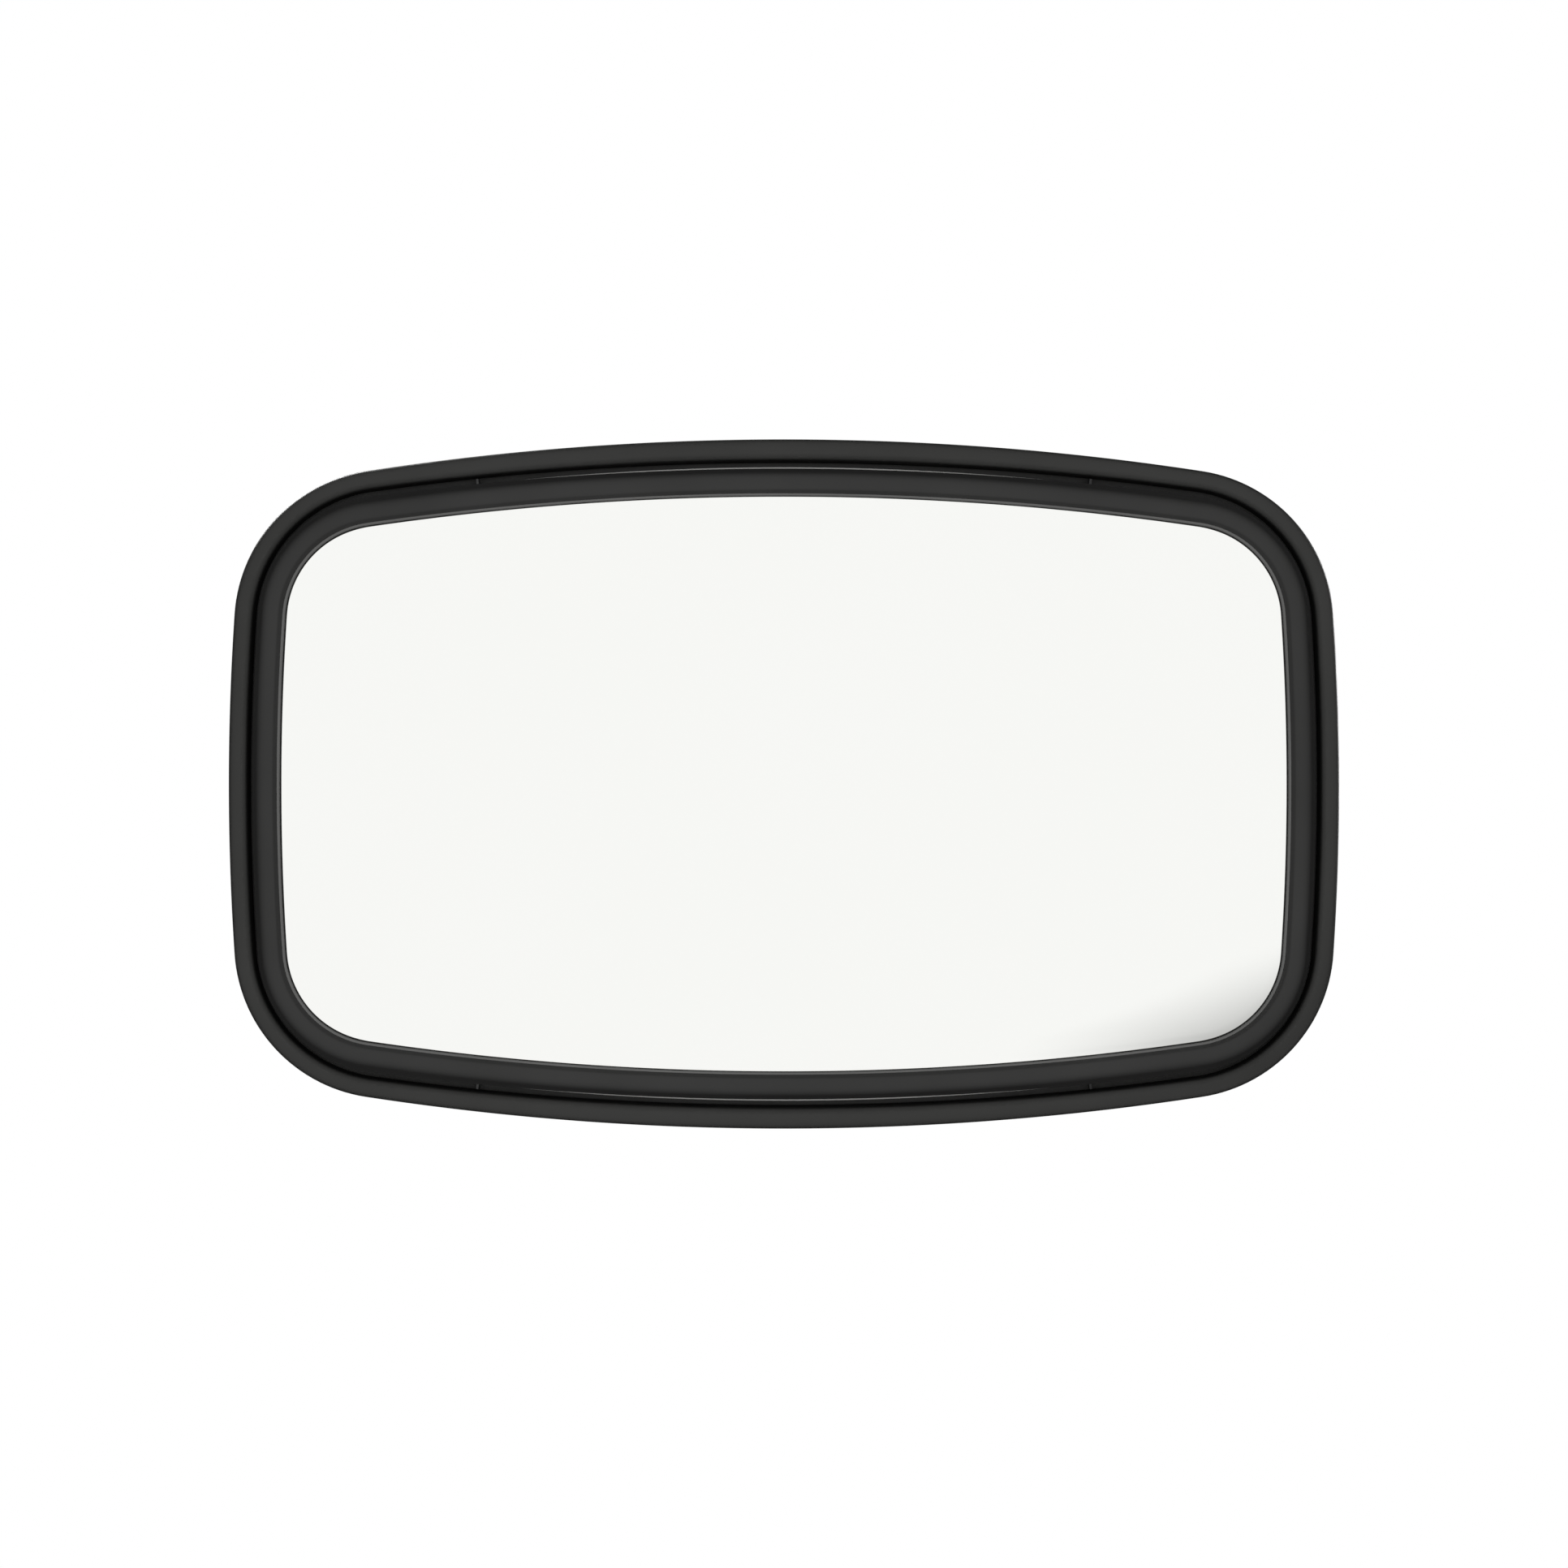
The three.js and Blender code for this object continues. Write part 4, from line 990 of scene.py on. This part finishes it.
def lock_nut():
    """A nut with a nylon ring held in a rounded collar at its far end."""
    flat = HEX_ACROSS_FLATS / 2
    near = -LOCK_NUT_FRONT
    far = near + LOCK_NUT_HEIGHT
    hex_top = far - 2.2
    collar = 0.94 * flat
    profile = [(BOLT_HOLE, near + 0.4), (BOLT_HOLE + 0.4, near), (HEX_FACE * flat, near)]
    profile += [(flat, near), (flat, hex_top), (collar, hex_top + 0.25)]
    profile += arc(collar - 1.3, far - 1.3, 1.3, 0.0, QUARTER, 6)
    profile += [(BOLT_HOLE + 0.5, far), (BOLT_HOLE, far - 0.5)]
    return put(in_head(), polar_loft(profile, 72, hex_reach(near)))


def spring_washer():
    high = SPRING_WASHER_FRONT
    low = high - SPRING_WASHER_HEIGHT
    profile = [
        (BOLT_HOLE, -high), (SPRING_WASHER_RADIUS, -low - SPRING_WASHER_SHEET),
        (SPRING_WASHER_RADIUS, -low), (BOLT_HOLE, -high + SPRING_WASHER_SHEET),
    ]
    return put(in_head(), lathe(profile, 96, 0.3))


def cross_recess(seat):
    """A tapered cross that cuts the driver recess of a screw head."""
    crown = seat + SCREW_HEAD_HEIGHT
    arms = []
    for turn in (0.0, QUARTER):
        loops = []
        for height, *half in ((crown - 1.5, 0.7, 0.3), (crown + 0.5, 2.1, 0.5)):
            loops.append([(x, y, height) for x, y in four_ways(half)])
        bar = loft(loops, (0.0, 0.0, crown - 1.6), (0.0, 0.0, crown + 0.5))
        arms.append(put(rotation(turn, "Z"), bar))
    return combined(arms[0], arms[1], "UNION")


def pan_head_screw(face, length):
    """A screw along local Z whose head bears on `face`, with a domed head and a cross recess."""
    seat = face + GAP
    crown = seat + SCREW_HEAD_HEIGHT
    tip = face - length
    rim = seat + SCREW_HEAD_RIM
    rise = SCREW_HEAD_HEIGHT - SCREW_HEAD_RIM
    dome = oval_arc(0.0, rim, SCREW_HEAD_RADIUS, rise, 0.0, QUARTER, 9)
    profile = [(0, tip), (SCREW_RADIUS - 0.5, tip + 0.8), (SCREW_RADIUS, tip + 1.6)]
    profile += [(SCREW_RADIUS, seat - 0.2), (SCREW_RADIUS + 0.2, seat)]
    profile += [(SCREW_HEAD_RADIUS - 0.2, seat), (SCREW_HEAD_RADIUS, seat + 0.25)]
    profile += dome[:-1] + [(0, crown)]
    return combined(polar_loft(profile, 48), cross_recess(seat), "DIFFERENCE")


def show_screws(prefix, width, count, face, length):
    """Copies one screw to its places, each turned a different way as real screws end up."""
    pattern = pan_head_screw(face, length)
    for index in range(count):
        node = f"{prefix}_{index + 1:0{width}d}"
        low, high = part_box(node)
        middle = (low + high) / 2 / MM
        copy = put(rotation(1.9 * index, "Z"), pattern.copy())
        show(node, put(in_head(middle.x, middle.z), copy))


# ---- pivots and brackets


def bush():
    flange = ARM_BOSS_HALF + GAP
    inner_end = flange + BUSH_FLANGE - BUSH_LENGTH
    profile = [
        (BOLT_HOLE, inner_end), (BUSH_RADIUS, inner_end), (BUSH_RADIUS, flange),
        (BUSH_FLANGE_RADIUS, flange), (BUSH_FLANGE_RADIUS, flange + BUSH_FLANGE),
        (BOLT_HOLE, flange + BUSH_FLANGE),
    ]
    return lathe(profile, 96, 0.4)


def knob_insert():
    """A brass bush with a knurl in two bands."""
    base = CLAMP_FACE + GAP
    top = base + INSERT_LENGTH

    def knurl(radius, height, angle):
        wave = KNURL_DEPTH / 2 * (1 + math.cos(KNURL_TEETH * angle))
        return (radius - wave if radius == INSERT_RADIUS else radius), height

    full, neck = INSERT_RADIUS, INSERT_RADIUS - 0.5
    profile = [(BOLT_HOLE, base + 0.4), (BOLT_HOLE + 0.4, base), (neck, base)]
    profile += [(INSERT_RADIUS - 0.3, base + 0.5), (full, base + 1.0), (full, base + 5.0)]
    profile += [(neck, base + 5.6), (neck, base + 7.0), (full, base + 7.6), (full, top - 1.0)]
    profile += [(neck, top), (BOLT_HOLE, top)]
    return polar_loft(profile, 216, knurl)


def star_knob():
    """A six-lobed grip on a round collar, dished on top, with a blind bore below."""
    under = CLAMP_FACE + KNOB_COLLAR
    bore = INSERT_RADIUS + GAP
    bore_top = KNOB_TOP - KNOB_ROOF

    def lobed(radius, height, angle):
        """Scallops fade in from the collar's radius outwards."""
        share = (radius - KNOB_COLLAR_RADIUS) / (KNOB_RADIUS - KNOB_COLLAR_RADIUS)
        share = min(1.0, max(0.0, share))
        hollow = (0.5 + 0.5 * math.cos(KNOB_LOBES * angle)) ** 1.4
        return radius - KNOB_SCALLOP * share * hollow, height

    profile = [(0, bore_top), (bore, bore_top), (bore, CLAMP_FACE + 0.5), (bore + 0.5, CLAMP_FACE)]
    profile += arc(KNOB_COLLAR_RADIUS - 0.8, CLAMP_FACE + 0.8, 0.8, -QUARTER, 0.0, 4)
    profile += arc(KNOB_COLLAR_RADIUS + 1.6, under - 1.6, 1.6, 2 * QUARTER, QUARTER, 5)
    profile += arc(KNOB_RADIUS - 1.4, under + 1.4, 1.4, -QUARTER, 0.0, 6)
    profile += arc(KNOB_RADIUS - 3.2, KNOB_TOP - 3.2, 3.2, 0.0, QUARTER, 10)
    dish = ((13.5, 0.0), (13.0, 0.1), (12.4, 0.7), (11.8, 0.8), (6.0, 0.7), (0, 0.6))
    profile += [(radius, KNOB_TOP - depth) for radius, depth in dish]
    return polar_loft(profile, 240, lobed)


def show_clamp(prefix, place):
    """The bolt, washers, bushes, insert and knob of one clamped pivot."""
    face = EAR_OUTER + GAP
    insert_end = CLAMP_FACE + GAP + INSERT_LENGTH
    flat = washer(WASHER_RADIUS, BOLT_HOLE, face, WASHER_OUTER)
    show(prefix + "_bolt", put(place, bolt(-CLAMP_FACE, insert_end - 1.0)), crease=24.0)
    show(prefix + "_head_washer", put(place @ FLIPPED, flat.copy()))
    show(prefix + "_knob_washer", put(place, flat))
    show(prefix + "_bush_head", put(place @ FLIPPED, bush()))
    show(prefix + "_bush_knob", put(place, bush()))
    show(prefix + "_knob_insert", put(place, knob_insert()))
    show(prefix + "_knob", put(place, star_knob()), crease=60.0)


def ear_outline(root_half, root):
    """A clevis ear from its root line to its round end, about the bolt's axis."""
    tangent = math.acos(ARM_BOSS_RADIUS / math.hypot(root_half, root))
    lean = math.atan2(root_half, root) + tangent - QUARTER
    points = [(-root_half, -root), (root_half, -root)]
    points += arc(0.0, 0.0, ARM_BOSS_RADIUS, -lean, 2 * QUARTER + lean, 40)
    return points


def ears(root_half, root):
    """Both ears of a clevis about local Z, with their roots at local -Y."""
    outlines = [ear_outline(root_half, root), circle(0.0, 0.0, BOLT_HOLE)]
    return [sheet(outlines, low, low + EAR_THICKNESS, 0.6) for low in (-EAR_OUTER, EAR_INNER)]


def ear_welds(root_half, face):
    """Beads on both sides of both ears, on the face `face` below the bolt's axis."""
    beads = []
    for side in (-1, 1):
        for height in (EAR_INNER, EAR_OUTER):
            ends = [(x, -face, side * height) for x in (1.5 - root_half, root_half - 1.5)]
            beads.append(weld_bead(*ends))
    return beads


def wall_bracket():
    holes = [circle(x, z, WALL_HOLE_RADIUS) for x, z in four_ways(WALL_HOLE_PLACE)]
    outlines = [rounded_rectangle(*WALL_PLATE_SIZE, WALL_PLATE_CORNER, 14)] + holes
    plate = sheet(outlines, 0.0, WALL_PLATE_THICKNESS, 0.6)
    solid = put(rotation(QUARTER, "X"), plate)
    to_wall = AT_PAN @ rotation(2 * QUARTER, "Z")
    for ear in ears(WALL_EAR_ROOT, -PAN_Y - WALL_PLATE_THICKNESS / 2):
        solid = combined(solid, put(to_wall, ear), "UNION")
    beads = ear_welds(WALL_EAR_ROOT, -PAN_Y - WALL_PLATE_THICKNESS)
    return gathered([solid] + [put(to_wall, bead) for bead in beads])


def tilt_clevis():
    disc = washer(CLEVIS_DISC_RADIUS, BOLT_HOLE, -DISC_FRONT, -DISC_BACK, 160, 0.8)
    solid = put(in_head(), disc)
    for ear in ears(CLEVIS_EAR_ROOT, PIVOT_TO_FRAME + (DISC_FRONT + DISC_BACK) / 2):
        solid = combined(solid, put(AT_TILT, ear), "UNION")
    beads = ear_welds(CLEVIS_EAR_ROOT, PIVOT_TO_FRAME + DISC_BACK)
    return gathered([solid] + [put(AT_TILT, bead) for bead in beads])


def swivel_arm():
    """A cast arm: two bosses and a waisted neck blended together, then bored."""
    half = ARM_BOSS_HALF
    length = PAN_Y - TILT_Y
    end, waist = NECK_END_RADIUS, NECK_WAIST_RADIUS
    neck = [(0, 0.0), (end, 0.0), (end, 0.12 * length), (waist, 0.3 * length)]
    neck += [(waist, 0.7 * length), (end, 0.88 * length), (end, length), (0, length)]
    along = AT_PAN @ rotation(QUARTER, "X")
    bosses = [
        put(place, rod(ARM_BOSS_RADIUS, -half, half, 96, 1.2)) for place in (AT_PAN, AT_TILT)
    ]
    rough = gathered(bosses + [put(along, lathe(neck, 96, 3.0))])
    remesh = {"mode": "VOXEL", "voxel_size": 0.8, "use_smooth_shade": True}
    smooth = {"factor": 0.5, "iterations": 9}
    cast = evaluated(rough, [("REMESH", remesh), ("SMOOTH", smooth)])
    past = half + 2.0
    bores = [put(place, rod(ARM_BOSS_BORE, -past, past, 72)) for place in (AT_PAN, AT_TILT)]
    return combined(cast, gathered(bores), "DIFFERENCE")


def show_roll_pivot():
    near = -FRICTION_FRONT
    disc = washer(FRICTION_DISC_RADIUS, BOLT_HOLE, near, near + FRICTION_DISC, 160)
    near = -ROLL_WASHER_FRONT
    flat = washer(WASHER_RADIUS, BOLT_HOLE, near, near + WASHER_THICKNESS)
    show("roll_bolt", put(in_head(), bolt(-PLATE_FRONT - GAP, -ROLL_BOLT_END)), crease=24.0)
    show("roll_friction_disc", put(in_head(), disc))
    show("roll_washer", put(in_head(), flat))
    show("roll_spring_washer", spring_washer())
    show("roll_lock_nut", lock_nut(), crease=24.0)


# ---- studio


def build_camera():
    data = bpy.data.cameras.new("camera")
    data.lens = CAMERA_LENS
    data.sensor_width = CAMERA_SENSOR
    data.dof.use_dof = False
    camera = new_object("camera", data)
    camera.location = CAMERA_PLACE
    camera.rotation_euler = (QUARTER, 0.0, 0.0)
    bpy.context.scene.camera = camera


def build_world():
    """A white studio seen in reflections: bright in front of the mirror and dark behind it. It is
    plain white to the eye, and lamps give all the diffuse light."""
    world = bpy.data.worlds.new("studio")
    world.use_nodes = True
    bpy.context.scene.world = world
    world.cycles_visibility.diffuse = False
    tree = world.node_tree
    direction = new_node(tree, "ShaderNodeTexCoord").outputs["Generated"]
    front = new_node(tree, "ShaderNodeVectorMath", operation="DOT_PRODUCT")
    front.inputs[1].default_value = (0.0, -1.0, 0.0)
    tree.links.new(direction, front.inputs[0])
    ahead = front.outputs["Value"]
    bright = mapped(tree, ahead, *WORLD_LEVELS, *WORLD_FADE, interpolation_type="SMOOTHSTEP")
    eye = new_node(tree, "ShaderNodeLightPath").outputs
    direct = mapped(tree, eye["Diffuse Depth"], 1.0, WORLD_SECONDHAND, 0.0, 1.0)
    reflected = maths(tree, "MULTIPLY", bright, direct)
    level = maths(tree, "MAXIMUM", reflected, eye["Is Camera Ray"])
    background = tree.nodes["Background"].inputs
    background["Color"].default_value = (1.0, 1.0, 1.0, 1.0)
    tree.links.new(level, background["Strength"])


def stage_plane(name, corners, shader):
    """A plane seen by no ray until it is told which; shader(tree) gives its surface."""
    material = bpy.data.materials.new(name)
    material.use_nodes = True
    tree = material.node_tree
    tree.nodes.remove(tree.nodes["Principled BSDF"])
    tree.links.new(shader(tree), tree.nodes["Material Output"].inputs["Surface"])
    mesh = mesh_of(corners, [(0, 1, 2, 3)], name)
    mesh.materials.append(material)
    plane = new_object(name, mesh)
    for ray in ("camera", "diffuse", "glossy", "shadow", "transmission"):
        setattr(plane, "visible_" + ray, False)
    return plane


def white_glow(tree):
    glow = new_node(tree, "ShaderNodeEmission")
    glow.inputs["Color"].default_value = (1.0, 1.0, 1.0, 1.0)
    return glow.outputs["Emission"]


def soft_veil(tree):
    """Clear at its rim and darker towards its middle, over an oval."""
    spread = new_node(tree, "ShaderNodeMapping")
    across, up = FLAG_SPREAD
    spread.inputs["Scale"].default_value = (1 / across, 1.0, 1 / up)
    place = new_node(tree, "ShaderNodeTexCoord").outputs["Object"]
    tree.links.new(place, spread.inputs["Vector"])
    length = new_node(tree, "ShaderNodeVectorMath", operation="LENGTH")
    tree.links.new(spread.outputs["Vector"], length.inputs[0])
    out = length.outputs["Value"]
    clear = mapped(tree, out, FLAG_DARKEST, 1.0, 0.0, FLAG_REACH, interpolation_type="SMOOTHSTEP")
    veil = new_node(tree, "ShaderNodeBsdfTransparent")
    tree.links.new(clear, veil.inputs["Color"])
    return veil.outputs["BSDF"]


def build_floor():
    """A plain white floor that only the camera sees."""
    corners = [(x, y, 0) for x, y in four_ways((-FLOOR_HALF, -FLOOR_HALF))]
    floor = stage_plane("floor", corners, white_glow)
    floor.location = (0.0, 0.0, FLOOR_Z)
    floor.visible_camera = True


def build_flag():
    """A soft flag low on the right, just in front of the frame and seen only as a reflection: it
    takes the white off the mirror's lower right corner."""
    x, z = FLAG_HALF
    corners = [(x, 0, z) for x, z in four_ways((-x, -z))]
    flag = stage_plane("flag", corners, soft_veil)
    flag.location = FLAG_PLACE
    flag.rotation_euler = FLAG_TURN
    flag.visible_glossy = True


def soft_light(name, place, size, power, only=None):
    """A round soft box aimed at the arm. Without `only` it lights all pieces and has no
    reflection; with it, it lights and is reflected in those pieces alone."""
    data = bpy.data.lights.new(name, "AREA")
    data.shape = "DISK"
    data.size = size
    data.energy = power
    light = new_object(name, data)
    light.location = place
    light.rotation_euler = (LIGHT_AIM - Vector(place)).to_track_quat("-Z", "Y").to_euler()
    light.visible_camera = False
    light.visible_glossy = only is not None
    if only:
        light.light_linking.receiver_collection = only


def build_lights(back_pieces):
    """A small soft box in front of the mirror's middle, which lights the frame's inner slopes and
    leaves its outer ones dark, and three boxes that model the back."""
    soft_light(*FRONT_LIGHT)
    group = bpy.data.collections.new("back_pieces")
    for piece in back_pieces:
        group.objects.link(piece)
    for values in BACK_LIGHTS:
        soft_light(*values, group)


# ---- assembly


def show_each(*makers):
    for make in makers:
        show(make.__name__, make())


def build_mirror():
    show_each(outer_frame, inner_bezel, lens_seal, lens_gasket, seam_strip, mirror_lens)
    show("back_shell", back_shell(), crease=28.0)
    show("reinforcing_plate", reinforcing_plate())
    show_bezel_clips()
    show_screws("frame_screw", 2, 10, -SHELL_FLANGE_BACK, FRAME_SCREW_LENGTH)
    show_screws("plate_screw", 1, 4, -BOSS_BACK, PLATE_FRONT - BOSS_BACK + 1.0)
    show_roll_pivot()
    show_clamp("pan", AT_PAN)
    show_clamp("tilt", AT_TILT)
    show_each(tilt_clevis, swivel_arm, wall_bracket)


bpy.context.scene.view_settings.view_transform = "Standard"
build_camera()
build_world()
build_floor()
build_flag()
build_mirror()
build_lights([piece for piece in SHOWN if SLOT_OF[piece["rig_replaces"][0]] not in FRONT_SLOTS])
